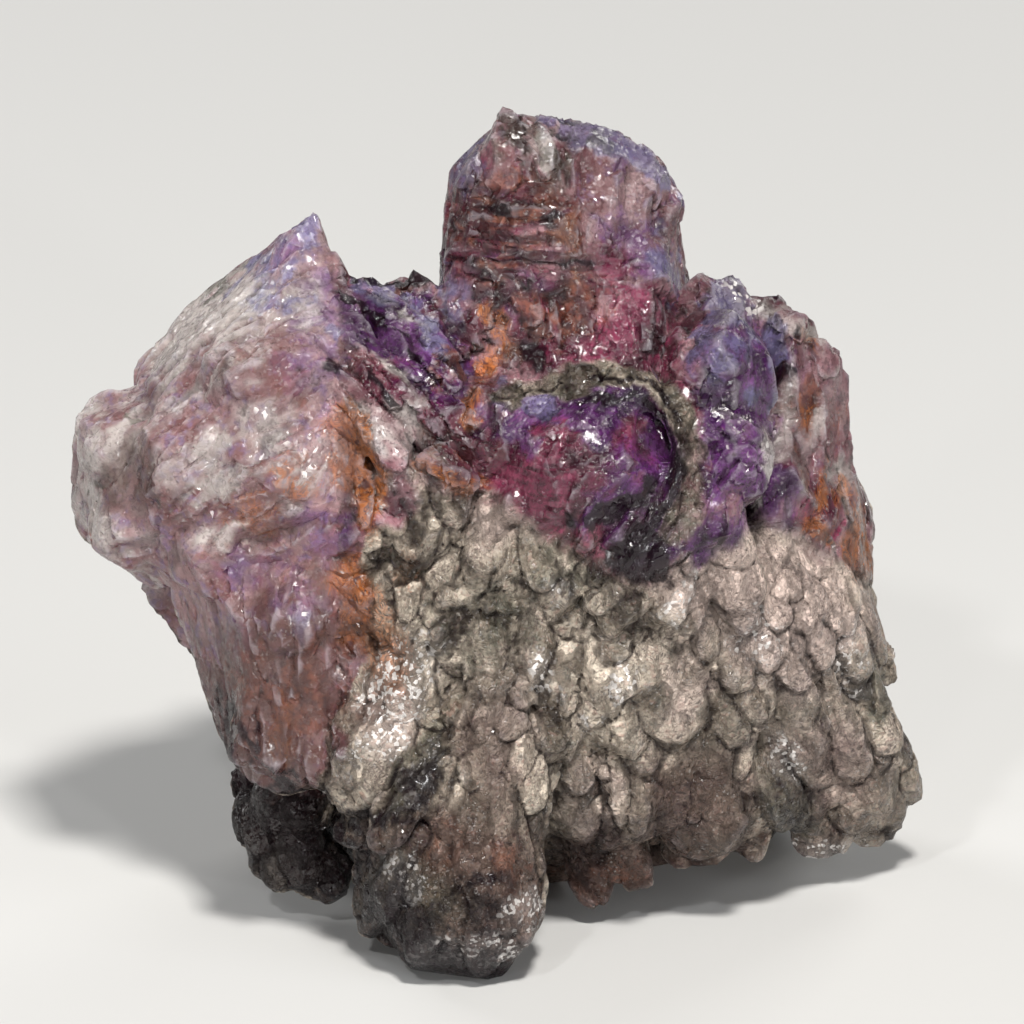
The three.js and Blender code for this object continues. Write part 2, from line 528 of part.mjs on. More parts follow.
const material = new THREE.MeshStandardMaterial({ color: SKIN, roughness: 0.45, metalness: 0 });
const mesh = new THREE.Mesh(cluster(), material);
mesh.name = "amethyst_cluster";

const part = new THREE.Group();
part.name = "scepter_amethyst_cluster";
part.add(mesh);

export default part;
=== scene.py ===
"""The looks of a scepter amethyst cluster: violet and milky crystal above a stem of sparkling crystal."""

from __future__ import annotations

import logging
import math
from dataclasses import dataclass, field
from enum import Enum

import bmesh
import bpy
import numpy as np
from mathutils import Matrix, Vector, kdtree, noise

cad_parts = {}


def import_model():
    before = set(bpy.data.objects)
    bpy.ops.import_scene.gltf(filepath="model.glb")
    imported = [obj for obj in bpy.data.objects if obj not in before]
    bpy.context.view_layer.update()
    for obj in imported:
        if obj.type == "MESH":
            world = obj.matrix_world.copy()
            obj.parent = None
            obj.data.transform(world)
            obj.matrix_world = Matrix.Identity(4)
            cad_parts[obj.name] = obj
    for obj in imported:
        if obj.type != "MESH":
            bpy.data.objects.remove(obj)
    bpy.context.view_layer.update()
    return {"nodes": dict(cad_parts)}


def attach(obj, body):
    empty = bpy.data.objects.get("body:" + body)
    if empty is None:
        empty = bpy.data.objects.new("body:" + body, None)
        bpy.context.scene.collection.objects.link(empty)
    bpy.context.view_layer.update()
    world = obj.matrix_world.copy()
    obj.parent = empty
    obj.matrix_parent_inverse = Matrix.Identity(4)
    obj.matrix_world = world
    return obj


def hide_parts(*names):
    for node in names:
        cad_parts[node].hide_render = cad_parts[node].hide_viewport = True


LOG = logging.getLogger("amethyst_cluster")
NODE = "amethyst_cluster"
MM = 0.001


@dataclass(frozen=True)
class Sight:
    """How a viewer in front looks down on the cluster. Places in the view are in millimetres."""

    tilt: float = math.radians(20.0)
    floor_line: float = 9.1
    shift_across: float = 0.42
    shift_deep: float = 0.03

    def place(self, across: float, up: float, deep: float) -> Vector:
        """Turns a place in the view into a point of the frame.

        Args:
            across: how far to the right it is seen.
            up: how far up the tilted view it is seen.
            deep: how far back over the floor it lies.

        Returns:
            The point, in metres.
        """
        height = (up - self.floor_line - deep * math.sin(self.tilt)) / math.cos(self.tilt)
        return Vector((across - self.shift_across, deep - self.shift_deep, height)) * MM

    def seen(self, points: np.ndarray) -> np.ndarray:
        """Turns points of the frame into [across, up, deep] rows in millimetres.

        Args:
            points: one point a row, in metres.

        Returns:
            One row for each point.
        """
        across = points[:, 0] / MM + self.shift_across
        deep = points[:, 1] / MM + self.shift_deep
        up = points[:, 2] / MM * math.cos(self.tilt) + deep * math.sin(self.tilt) + self.floor_line
        return np.column_stack((across, up, deep))

    @property
    def look(self) -> Vector:
        """The way the viewer looks."""
        return Vector((0.0, math.cos(self.tilt), -math.sin(self.tilt)))


SIGHT = Sight()


class Wash(Enum):
    """What tints or covers the quartz, where it glints, and where shade and highlights are painted on it,
    each kept as one value at every point of the surface.
    """

    VIOLET = "violet"
    MAGENTA = "magenta"
    LILAC = "lilac"
    MILK_AND_HIGHLIGHT = "milk_and_highlight"
    RUST = "rust"
    AMBER = "amber"
    UMBER_AND_SHADE = "umber_and_shade"
    SMOKE = "smoke_and_shade"
    MOSS = "moss"
    SKIN = "skin"
    BLUSH = "blush"
    STREAK = "streak"
    HAZE = "haze"
    GLINT = "glint"


PATCH_FADE = 1.6


@dataclass(frozen=True)
class Patch:
    """An oval on the front where a wash is strong.

    Sizes are half widths in millimetres, its turn is in degrees. The wash is at its full amount up to
    PATCH_FADE - 1 half widths from the middle, and gone at PATCH_FADE.
    """

    wash: Wash
    across: float
    up: float
    wide: float
    tall: float
    amount: float = 1.0
    turn: float = 0.0

    def strength(self, seen: np.ndarray) -> np.ndarray:
        """How strongly the patch works at each seen point.

        Args:
            seen: [across, up, deep] rows.

        Returns:
            One value for each point, from 0 to the patch's amount.
        """
        angle = math.radians(self.turn)
        x, y = seen[:, 0] - self.across, seen[:, 1] - self.up
        along = (x * math.cos(angle) + y * math.sin(angle)) / self.wide
        over = (y * math.cos(angle) - x * math.sin(angle)) / self.tall
        reach = np.sqrt(along**2 + over**2)
        return self.amount * np.clip(PATCH_FADE - reach, 0.0, 1.0)


CROWN = (
    Patch(Wash.LILAC, -2.4, 81, 2.0, 3, 0.7),
    Patch(Wash.LILAC, 10, 84.4, 5, 1.6, 0.7, -25),
    Patch(Wash.LILAC, 16.4, 80.6, 4, 1.2, 0.9, -40),
    Patch(Wash.LILAC, -4.4, 69, 1.2, 4, 0.6),
    Patch(Wash.LILAC, 17, 71, 1.6, 4, 0.6, 15),
    Patch(Wash.MOSS, 1, 87, 2.2, 2.0, 0.8),
    Patch(Wash.MOSS, 4, 83.6, 7, 2.6, 0.55),
    Patch(Wash.RUST, 0, 75.4, 6, 5, 0.5),
    Patch(Wash.MAGENTA, 9.6, 70.6, 5, 3.4, 0.6),
    Patch(Wash.UMBER_AND_SHADE, 6.8, 81.0, 0.8, 2.6, 0.9, 12),
    Patch(Wash.STREAK, 0.6, 73.6, 6.4, 4.4, 1.1, -8),
    Patch(Wash.STREAK, 8.6, 71.0, 5.0, 2.0, 0.8, -8),
    Patch(Wash.VIOLET, 0, 78, 3, 1.2, 0.4),
    Patch(Wash.MAGENTA, -1, 74.6, 5, 6, 0.7),
    Patch(Wash.VIOLET, 1, 71.6, 5, 1.6, 0.5, 8),
    Patch(Wash.VIOLET, 12.6, 82, 1.8, 1.6, 0.8),
    Patch(Wash.VIOLET, 14.6, 73, 2.4, 2.6, 0.8),
    Patch(Wash.VIOLET, 2, 69, 3.4, 2.0, 0.5),
    Patch(Wash.MAGENTA, 5, 70, 7, 4, 0.55, -10),
    Patch(Wash.MAGENTA, 9.6, 64, 6, 2.8, 1.1),
    Patch(Wash.MAGENTA, 14, 62, 4, 2.0, 0.9),
    Patch(Wash.MAGENTA, 16.4, 67, 2.4, 4.0, 0.6),
    Patch(Wash.RUST, 1.6, 80, 4, 1.2, 0.9),
    Patch(Wash.RUST, 1, 76.4, 4, 1.4, 1.0),
    Patch(Wash.SMOKE, 0.4, 76.8, 1.6, 0.7, 0.9),
    Patch(Wash.RUST, 7.8, 75.6, 0.9, 2.0, 0.9, 15),
    Patch(Wash.AMBER, 6.8, 74.8, 1.5, 2.0, 0.85),
    Patch(Wash.SMOKE, 5.2, 76.2, 0.5, 1.4, 0.7),
    Patch(Wash.SMOKE, 8.4, 72.2, 2.6, 0.4, 0.9, 8),
    Patch(Wash.AMBER, 8.0, 70.4, 1.2, 1.4, 0.55),
    Patch(Wash.AMBER, -0.8, 66.4, 1.5, 1.5, 0.8),
    Patch(Wash.AMBER, 1.0, 63.6, 1.9, 1.6, 0.65),
    Patch(Wash.RUST, 5.0, 66.4, 3.4, 1.6, 0.7, -40),
    Patch(Wash.SMOKE, 4.2, 63.4, 2.2, 1.4, 0.9, -35),
    Patch(Wash.MAGENTA, 4.6, 66.0, 4.4, 3.0, 0.9, -35),
    Patch(Wash.RUST, 3.0, 78.4, 5.0, 1.0, 0.5, -6),
    Patch(Wash.UMBER_AND_SHADE, 6.9, 74.6, 1.3, 1.8, 0.6, 10),
    Patch(Wash.UMBER_AND_SHADE, 1.6, 63.4, 1.6, 1.4, 0.7),
    Patch(Wash.UMBER_AND_SHADE, -0.4, 65.8, 1.0, 0.8, 0.6),
    Patch(Wash.RUST, 8.8, 68.4, 3.0, 3.0, 0.5),
    Patch(Wash.SMOKE, 0.6, 66.0, 1.8, 0.5, 0.8, 45),
    Patch(Wash.MILK_AND_HIGHLIGHT, 4.4, 83.6, 1.3, 3.4, 0.55, 15),
    Patch(Wash.HAZE, 12.6, 76.0, 5.6, 8.0, 0.75, 10),
    Patch(Wash.HAZE, -0.6, 84.0, 4.0, 3.0, 0.6),
    Patch(Wash.VIOLET, 13.6, 74.4, 3.4, 1.6, 0.7, -30),
)

MILKY = (
    Patch(Wash.LILAC, -18.6, 75.4, 1.6, 2.4, 0.8),
    Patch(Wash.VIOLET, -20.2, 73.4, 2.4, 1.6, 0.6, 45),
    Patch(Wash.VIOLET, -23, 70.6, 5, 2.0, 0.45, 35),
    Patch(Wash.MILK_AND_HIGHLIGHT, -28, 67.6, 5, 2.8, 1.1, 38),
    Patch(Wash.MILK_AND_HIGHLIGHT, -31.6, 63.6, 3, 3, 1.0, 38),
    Patch(Wash.MILK_AND_HIGHLIGHT, -24, 68, 4, 1.8, 0.7, 30),
    Patch(Wash.MILK_AND_HIGHLIGHT, -40.6, 56, 2, 4, 0.9),
    Patch(Wash.MILK_AND_HIGHLIGHT, -36.6, 54, 3.6, 4, 0.6),
    Patch(Wash.MILK_AND_HIGHLIGHT, -41, 48, 2.4, 4, 0.7),
    Patch(Wash.MILK_AND_HIGHLIGHT, -37, 43, 5, 3, 0.5, -40),
    Patch(Wash.MILK_AND_HIGHLIGHT, -26, 57, 4, 2, 0.35, 30),
    Patch(Wash.MILK_AND_HIGHLIGHT, -27.6, 53, 9, 7, 0.42),
    Patch(Wash.MILK_AND_HIGHLIGHT, -25, 66, 9, 4, 0.4, 35),
    Patch(Wash.LILAC, -22, 70.4, 4, 3, 0.5, 35),
    Patch(Wash.UMBER_AND_SHADE, -35.6, 51.0, 2.6, 3.4, 0.6, -20),
    Patch(Wash.GLINT, -22.4, 56.4, 1.6, 1.0, 0.65),
    Patch(Wash.GLINT, -18.0, 53.0, 3.0, 1.0, 0.6, 10),
    Patch(Wash.GLINT, -11.6, 50.6, 0.5, 3.0, 0.6, 8),
    Patch(Wash.MILK_AND_HIGHLIGHT, -26, 45, 3, 2, 0.4),
    Patch(Wash.VIOLET, -17.6, 68, 2.2, 2.4, 0.9),
    Patch(Wash.VIOLET, -19, 63, 3.4, 3.0, 0.6),
    Patch(Wash.VIOLET, -16.6, 45, 2.4, 3.0, 0.8),
    Patch(Wash.VIOLET, -24.6, 41, 4, 1.6, 0.7),
    Patch(Wash.VIOLET, -19.6, 38, 3, 2.0, 0.5),
    Patch(Wash.VIOLET, -26, 34, 2, 4.0, 0.4),
    Patch(Wash.LILAC, -16.2, 65, 1.2, 1.2, 0.9),
    Patch(Wash.LILAC, -19, 35.6, 1.0, 1.4, 0.8),
    Patch(Wash.RUST, -23.6, 61.6, 4.4, 2.2, 0.65, -22),
    Patch(Wash.RUST, -20.6, 59.6, 2.4, 1.4, 0.9, -30),
    Patch(Wash.RUST, -22.4, 49.6, 4.6, 1.6, 0.55, 20),
    Patch(Wash.AMBER, -19.6, 50.4, 2.6, 1.8, 0.5),
    Patch(Wash.AMBER, -24.6, 47.0, 3.0, 1.6, 0.45),
    Patch(Wash.RUST, -17.6, 38.6, 2.4, 2.8, 0.6),
    Patch(Wash.RUST, -25, 42.6, 6, 2.4, 0.35, 10),
    Patch(Wash.AMBER, -21.4, 25.4, 1.4, 3.4, 0.5),
    Patch(Wash.SMOKE, -23.4, 26.0, 0.5, 4.4, 0.7),
    Patch(Wash.UMBER_AND_SHADE, -19, 24.0, 4, 6, 0.6),
    Patch(Wash.UMBER_AND_SHADE, -21, 30.0, 6, 7, 0.85),
    Patch(Wash.RUST, -19, 42.0, 6, 5, 0.4),
    Patch(Wash.SMOKE, -19.6, 60.6, 0.8, 0.6, 0.8),
    Patch(Wash.SMOKE, -16.4, 61.6, 0.9, 0.5, 0.8, -30),
    Patch(Wash.MOSS, -27.4, 70.0, 1.4, 0.5, 1.2, 20),
    Patch(Wash.MOSS, -38.8, 49.6, 1.1, 0.45, 1.2, -30),
    Patch(Wash.MOSS, -32.9, 54.0, 0.5, 0.5, 0.8),
    Patch(Wash.MOSS, -35.6, 56.2, 0.25, 0.6, 1.2, -30),
    Patch(Wash.MOSS, -34.0, 49.0, 0.25, 0.9, 1.0),
    Patch(Wash.SMOKE, -35.4, 51.4, 2.0, 0.8, 0.35),
    Patch(Wash.SMOKE, -34.6, 49.0, 1.6, 1.6, 0.3),
)

GROOVE = (
    Patch(Wash.AMBER, -13.8, 53.6, 2.2, 3.4, 1.7, 5),
    Patch(Wash.AMBER, -12.8, 48.6, 1.2, 3.6, 1.1, 5),
    Patch(Wash.RUST, -12.6, 52, 2.0, 5, 0.8, 5),
    Patch(Wash.AMBER, -12.0, 36.0, 2.4, 4.6, 1.5, 22),
    Patch(Wash.RUST, -11.6, 33, 3.0, 5, 0.8, 25),
    Patch(Wash.RUST, -13.4, 27.6, 1.6, 2.6, 0.7, 20),
    Patch(Wash.AMBER, -8.4, 42, 1.2, 2.2, 0.4),
)

SADDLE = (
    Patch(Wash.VIOLET, -8, 63.6, 6, 3.0, 1.1, -42),
    Patch(Wash.VIOLET, -12.4, 65, 3.0, 1.6, 1.0, -35),
    Patch(Wash.MAGENTA, -8, 59, 5, 2.4, 0.7, -42),
    Patch(Wash.MILK_AND_HIGHLIGHT, -9, 55.4, 4.4, 3.4, 0.55, -30),
    Patch(Wash.LILAC, -11, 68.4, 3.0, 1.0, 0.8, -30),
    Patch(Wash.SMOKE, -12.4, 66.9, 3.6, 0.35, 1.1, -32),
    Patch(Wash.MILK_AND_HIGHLIGHT, -8.8, 66.6, 3.4, 0.35, 1.0, -34),
    Patch(Wash.SMOKE, -7.6, 63.2, 3.6, 0.35, 1.1, -42),
    Patch(Wash.MILK_AND_HIGHLIGHT, -10.4, 61.8, 3.4, 0.4, 0.9, -42),
    Patch(Wash.SMOKE, -10.8, 59.2, 3.0, 0.3, 0.9, -44),
    Patch(Wash.MILK_AND_HIGHLIGHT, -8.6, 56.6, 3.0, 0.6, 1.0, -46),
    Patch(Wash.LILAC, -5.0, 63.6, 3.0, 0.5, 0.9, -46),
    Patch(Wash.MILK_AND_HIGHLIGHT, -12.4, 56.0, 0.8, 2.4, 0.9, 10),
    Patch(Wash.LILAC, -6.2, 64.8, 2.4, 0.9, 0.7, -50),
    Patch(Wash.SMOKE, -10, 69.8, 3.4, 0.7, 0.9),
    Patch(Wash.AMBER, -1.6, 57.6, 0.9, 1.9, 1.2),
    Patch(Wash.AMBER, -1.0, 61.4, 1.2, 1.2, 0.9),
    Patch(Wash.RUST, -4.0, 61.4, 1.4, 2.2, 0.6, -40),
    Patch(Wash.RUST, -9.6, 69.0, 0.8, 0.7, 0.9),
    Patch(Wash.AMBER, -5.8, 51.6, 2.4, 0.7, 0.9, -20),
    Patch(Wash.AMBER, -2.4, 49.4, 2.0, 0.7, 0.7, -15),
    Patch(Wash.RUST, -5.0, 53.4, 3.0, 1.6, 0.6, -20),
)

HEAD = (
    Patch(Wash.MAGENTA, 7, 50, 9, 8, 1.2),
    Patch(Wash.STREAK, 4, 50.4, 6, 4, 0.5),
    Patch(Wash.HAZE, 3.4, 50.4, 6, 6, 0.5),
    Patch(Wash.VIOLET, 15.0, 50.0, 3.6, 5.0, 0.8),
    Patch(Wash.MAGENTA, 16.2, 53.4, 1.8, 2.8, 1.2),
    Patch(Wash.VIOLET, 10, 57.6, 6, 2.0, 1.3),
    Patch(Wash.VIOLET, 16, 53, 2.2, 3.0, 1.1),
    Patch(Wash.VIOLET, 1.0, 56.0, 3.0, 2.0, 0.8),
    Patch(Wash.VIOLET, 2.4, 55.4, 1.8, 1.4, 0.9),
    Patch(Wash.VIOLET, 12, 47.6, 4, 1.6, 0.8, 30),
    Patch(Wash.VIOLET, 22, 44.4, 4, 2.4, 1.2, 45),
    Patch(Wash.SMOKE, 7.4, 46.4, 1.9, 0.8, 1.0, 45),
    Patch(Wash.SMOKE, 11.6, 47.0, 2.2, 0.8, 1.0, 50),
    # painted shadow under the head's overhang, in the smoke's near-black
    Patch(Wash.SMOKE, 13.6, 44.6, 1.6, 3.0, 1.1, -20),
    Patch(Wash.VIOLET, 15.4, 45.0, 3.0, 3.4, 0.9),
    Patch(Wash.SMOKE, 13.8, 49.0, 2.2, 0.6, 0.9, 50),
    Patch(Wash.SMOKE, 20.6, 45.6, 2.8, 0.7, 0.8, 42),
    Patch(Wash.LILAC, 3.4, 58.2, 1.8, 1.2, 1.2),
    Patch(Wash.LILAC, 0.8, 58.6, 0.8, 0.9, 1.0),
    Patch(Wash.SMOKE, 17.6, 50.0, 1.0, 3.0, 0.7, 10),
    # painted shadow under the head's overhang, in the smoke's near-black
    Patch(Wash.SMOKE, 15.4, 41.6, 2.2, 2.0, 1.0, 20),
)

KEEL = (
    Patch(Wash.VIOLET, 24, 58, 4, 10, 1.0),
    Patch(Wash.VIOLET, 26, 51, 2, 3.4, 1.3, 30),
    Patch(Wash.LILAC, 21.4, 63, 2.4, 3.4, 0.9),
    Patch(Wash.LILAC, 23, 68.6, 2.4, 2.4, 1.0),
    Patch(Wash.LILAC, 27.2, 58.4, 1.2, 1.2, 1.2),
    Patch(Wash.LILAC, 27.2, 64, 1.0, 3.0, 0.9),
    Patch(Wash.MAGENTA, 18.4, 58.6, 2.0, 1.6, 1.0),
    Patch(Wash.MAGENTA, 23.6, 53.6, 3.0, 2.4, 0.7),
    Patch(Wash.SMOKE, 28.0, 60.6, 0.5, 2.4, 1.0),
    # a thin white strip along the keel's edge: painted highlight in the milk's white, with glints
    Patch(Wash.MILK_AND_HIGHLIGHT, 26.6, 51.4, 0.4, 4.0, 1.2, -20),
    Patch(Wash.GLINT, 26.6, 51.4, 0.5, 4.0, 1.0, -20),
)

COLUMN = (
    Patch(Wash.MILK_AND_HIGHLIGHT, 29.6, 46.6, 3.0, 3.4, 0.35),
    Patch(Wash.MAGENTA, 31.4, 49.0, 3.4, 5.0, 0.55),
    Patch(Wash.HAZE, 32.0, 53.0, 4.0, 9.0, 0.45, 8),
    Patch(Wash.MILK_AND_HIGHLIGHT, 31.0, 55, 3.4, 8, 0.42),
    Patch(Wash.RUST, 32.0, 56, 3.0, 6, 0.4, 8),
    Patch(Wash.MILK_AND_HIGHLIGHT, 35.0, 49.6, 1.8, 5.0, 0.8, 14),
    Patch(Wash.MILK_AND_HIGHLIGHT, 29.6, 44.6, 3.0, 3.0, 0.6),
    Patch(Wash.MAGENTA, 29.4, 53, 1.6, 4, 0.5),
    Patch(Wash.RUST, 31.0, 58, 1.8, 3.0, 0.8),
    Patch(Wash.AMBER, 31.2, 56.8, 1.2, 1.6, 0.6),
    Patch(Wash.AMBER, 32.7, 49.8, 0.9, 2.4, 1.0, 6),
    Patch(Wash.AMBER, 32.3, 45.6, 0.8, 1.6, 0.9),
    Patch(Wash.AMBER, 36.0, 47, 1.4, 3.0, 0.7, 15),
    Patch(Wash.RUST, 36.6, 43.0, 1.2, 2.6, 0.7, 10),
    Patch(Wash.VIOLET, 29.6, 47.6, 1.2, 3.0, 0.6),
    Patch(Wash.MILK_AND_HIGHLIGHT, 28.6, 66.6, 2.6, 1.6, 0.6, -30),
    Patch(Wash.MILK_AND_HIGHLIGHT, 32.0, 63.6, 2.4, 1.4, 0.6, -40),
    Patch(Wash.AMBER, 29.6, 65.0, 2.4, 1.0, 0.4, -35),
    Patch(Wash.SMOKE, 30.6, 64.0, 1.8, 0.7, 0.5, -45),
)

STEM = (
    Patch(Wash.BLUSH, 22, 41, 6, 5, 0.9),
    Patch(Wash.BLUSH, 30, 37, 7, 8, 0.9),
    Patch(Wash.BLUSH, 33, 22, 6, 5, 0.6),
    Patch(Wash.BLUSH, 19, 31, 3, 5, 0.6),
    Patch(Wash.BLUSH, 1.4, 47, 5, 3, 0.7),
    Patch(Wash.BLUSH, 1, 27, 3, 6, 0.5),
    Patch(Wash.BLUSH, 10, 19, 3, 5, 0.6),
    Patch(Wash.BLUSH, -10.4, 26.6, 3, 4, 0.7, -35),
    Patch(Wash.MOSS, 8, 42, 5, 3, 0.7),
    Patch(Wash.MOSS, -1, 36, 6, 5, 0.6),
    Patch(Wash.MOSS, -7.4, 22, 1.6, 5, 1.1, -35),
    Patch(Wash.SMOKE, -7.0, 20.6, 1.4, 4.4, 0.7, -35),
    Patch(Wash.MOSS, 29, 18.6, 2.4, 5, 0.9, 20),
    Patch(Wash.SMOKE, 29.4, 17.6, 1.6, 3.6, 0.5, 20),
    Patch(Wash.MOSS, 38, 29, 2, 2, 0.7),
    Patch(Wash.AMBER, 36.6, 44, 1.8, 2.6, 0.9, 10),
    Patch(Wash.RUST, 39.0, 36.4, 1.4, 2.4, 0.6),
    Patch(Wash.RUST, 1.6, 12.4, 1.6, 3.0, 0.8),
    # umber over the lower stem and the lower left column: partly brown stain, partly painted shade on the
    # faces that turn down
    Patch(Wash.UMBER_AND_SHADE, 20, 18, 6, 6, 0.8),
    Patch(Wash.UMBER_AND_SHADE, 33, 19, 7, 6, 0.55),
    Patch(Wash.UMBER_AND_SHADE, -1, 21, 4, 8, 0.6),
    Patch(Wash.UMBER_AND_SHADE, -22.5, 27, 7, 9, 1.1),
    Patch(Wash.RUST, -22, 30, 5, 6, 0.45),
)

# The foot and the lowest stem. The umber and smoke patches here are partly the stone's own dark colour and
# partly painted shade on the underside and on the black foot on the left, which face away from the light
# above.
FOOT = (
    Patch(Wash.UMBER_AND_SHADE, -5, 8, 10, 9, 1.2),
    Patch(Wash.UMBER_AND_SHADE, 12, 11, 8, 4, 1.0),
    Patch(Wash.UMBER_AND_SHADE, 26, 12, 10, 3, 0.7),
    Patch(Wash.SMOKE, -23, 18.4, 6, 2.4, 1.0),
    Patch(Wash.SMOKE, -21, 13, 8, 5, 1.1),
    Patch(Wash.SMOKE, -27, 24, 1.8, 5, 0.9),
    Patch(Wash.SMOKE, -10, 5, 5, 6, 0.8),
    Patch(Wash.SMOKE, -3, 7, 6, 5, 0.5),
    Patch(Wash.UMBER_AND_SHADE, -3, 12, 7, 5, 0.8),
    Patch(Wash.SMOKE, -3, 1.6, 8, 2.4, 0.9),
    Patch(Wash.SMOKE, -1, 11.0, 3.4, 0.6, 0.8),
    Patch(Wash.SMOKE, -11.4, 17.4, 5, 0.7, 0.9, -15),
    Patch(Wash.MOSS, -17, 14, 4, 3, 0.5),
    Patch(Wash.MOSS, -9, 9, 6, 5, 0.8),
    Patch(Wash.RUST, -4.4, 15, 2.0, 3.4, 0.5),
    Patch(Wash.RUST, 11, 10.4, 5, 2.4, 0.7),
    Patch(Wash.AMBER, 11, 8.0, 4, 1.0, 0.5),
    Patch(Wash.RUST, 20, 12, 5, 1.0, 0.6),
    Patch(Wash.AMBER, 24.4, 11.4, 2, 0.8, 0.7),
    Patch(Wash.RUST, 28, 15, 2, 1.0, 0.9),
)

# Where the surface glitters: the glint zones are smoother and coated, and carry painted sparkle highlights in
# the glint colour.
GLITTER = (
    Patch(Wash.GLINT, -9.4, 30.0, 3.0, 4.4, 1.0, -30),
    Patch(Wash.GLINT, -11.4, 24.0, 3.4, 1.8, 0.8, 40),
    Patch(Wash.GLINT, -7.0, 21.6, 1.2, 3.0, 0.7, -35),
    Patch(Wash.GLINT, 12.6, 30.4, 2.0, 2.0, 1.0),
    Patch(Wash.GLINT, 9.6, 26.6, 1.6, 1.0, 0.8),
    Patch(Wash.GLINT, 18.6, 38.4, 1.0, 2.6, 1.0, -15),
    Patch(Wash.GLINT, 5.0, 31.4, 2.0, 1.6, 0.7),
    Patch(Wash.GLINT, 6.4, 39.0, 1.6, 1.0, 0.6),
    Patch(Wash.GLINT, -2.6, 3.8, 5.6, 1.6, 1.0, 15),
    Patch(Wash.GLINT, 2.4, 8.0, 2.6, 1.2, 0.8, 20),
    Patch(Wash.GLINT, -9.0, 11.0, 2.6, 2.6, 0.6),
    Patch(Wash.GLINT, 28.4, 23.6, 0.9, 2.8, 1.0, 25),
    Patch(Wash.GLINT, 26.4, 35.0, 2.6, 2.6, 0.7),
    Patch(Wash.GLINT, 35.6, 33.0, 2.0, 3.6, 0.6, 10),
    Patch(Wash.GLINT, 33.6, 13.4, 3.6, 1.6, 0.7),
    Patch(Wash.GLINT, 22.6, 56.4, 2.6, 0.35, 0.75, -14),
    Patch(Wash.GLINT, 24.2, 54.0, 2.8, 0.35, 0.75, -22),
    Patch(Wash.GLINT, 26.0, 51.6, 1.6, 0.35, 0.7, -40),
    # a thin white strip where the crystal glints: painted highlight in the milk's white
    Patch(Wash.MILK_AND_HIGHLIGHT, -11.4, 52.0, 0.6, 3.0, 1.0, 8),
    Patch(Wash.GLINT, -19.4, 36.6, 0.8, 1.2, 0.8),
    Patch(Wash.GLINT, 24.0, 68.0, 2.4, 1.6, 0.6),
    Patch(Wash.GLINT, -16.4, 65.4, 1.6, 1.0, 0.7),
)

PATCHES = CROWN + MILKY + GROOVE + SADDLE + HEAD + KEEL + COLUMN + STEM + FOOT + GLITTER


@dataclass(frozen=True)
class Shard:
    """One larger crystal or tongue on the front. Sizes are half widths in millimetres.

    Its turn is in degrees from straight down towards the right. A lift below 0 sinks it.
    """

    across: float
    up: float
    wide: float
    long: float
    turn: float = 0.0
    lift: float = 0.5
    tone: float = 0.5

    def place(self, seen: np.ndarray) -> tuple[np.ndarray, np.ndarray]:
        """Where each seen point lies on the shard.

        Args:
            seen: rows that start with across and up.

        Returns:
            How far each point lies to the side of the shard's middle, and along it, in millimetres.
        """
        angle = math.radians(self.turn)
        x, y = seen[:, 0] - self.across, seen[:, 1] - self.up
        return x * math.cos(angle) + y * math.sin(angle), x * math.sin(angle) - y * math.cos(angle)


CROWN_SHARDS = (
    Shard(1.0, 87.4, 1.6, 1.8, 0, 0.7, 0.5),
    Shard(4.4, 83.6, 1.3, 3.3, 18, 0.7, 0.8),
    Shard(6.9, 82.4, 0.6, 3.0, 14, -0.4, 0.3),
    Shard(9.6, 83.6, 2.0, 3.4, 40, 0.4, 0.6),
    Shard(12.8, 83.0, 1.3, 4.4, 58, 0.8, 0.6),
    Shard(15.8, 80.0, 1.4, 3.6, 38, 0.8, 0.7),
    Shard(10.6, 79.4, 2.6, 4.0, 48, 0.4, 0.7),
    Shard(-3.4, 82.0, 1.6, 3.6, -26, 0.5, 0.5),
    Shard(-0.4, 82.4, 1.4, 3.0, -10, 0.4, 0.6),
    Shard(6.8, 74.7, 1.8, 2.3, 10, 0.6, 0.5),
    Shard(8.0, 70.2, 1.5, 2.0, 10, 0.3, 0.5),
    Shard(10.6, 72.6, 1.4, 3.4, 22, 0.4, 0.6),
    Shard(14.4, 74.0, 2.0, 4.4, 18, 0.5, 0.6),
    Shard(17.2, 71.4, 1.4, 4.4, 24, 0.6, 0.6),
    Shard(12.4, 66.4, 1.8, 4.4, 12, 0.4, 0.6),
    Shard(-3.6, 70.4, 1.3, 4.6, -4, 0.3, 0.6),
    Shard(-1.2, 66.6, 1.4, 1.7, -20, 0.6, 0.6),
    Shard(0.8, 63.6, 1.3, 2.0, 32, 0.6, 0.6),
    Shard(2.6, 68.0, 1.0, 2.4, 34, 0.4, 0.5),
    Shard(5.8, 65.6, 0.6, 2.4, 30, 0.6, 0.8),
    Shard(8.4, 66.4, 1.4, 3.0, -8, 0.4, 0.4),
)

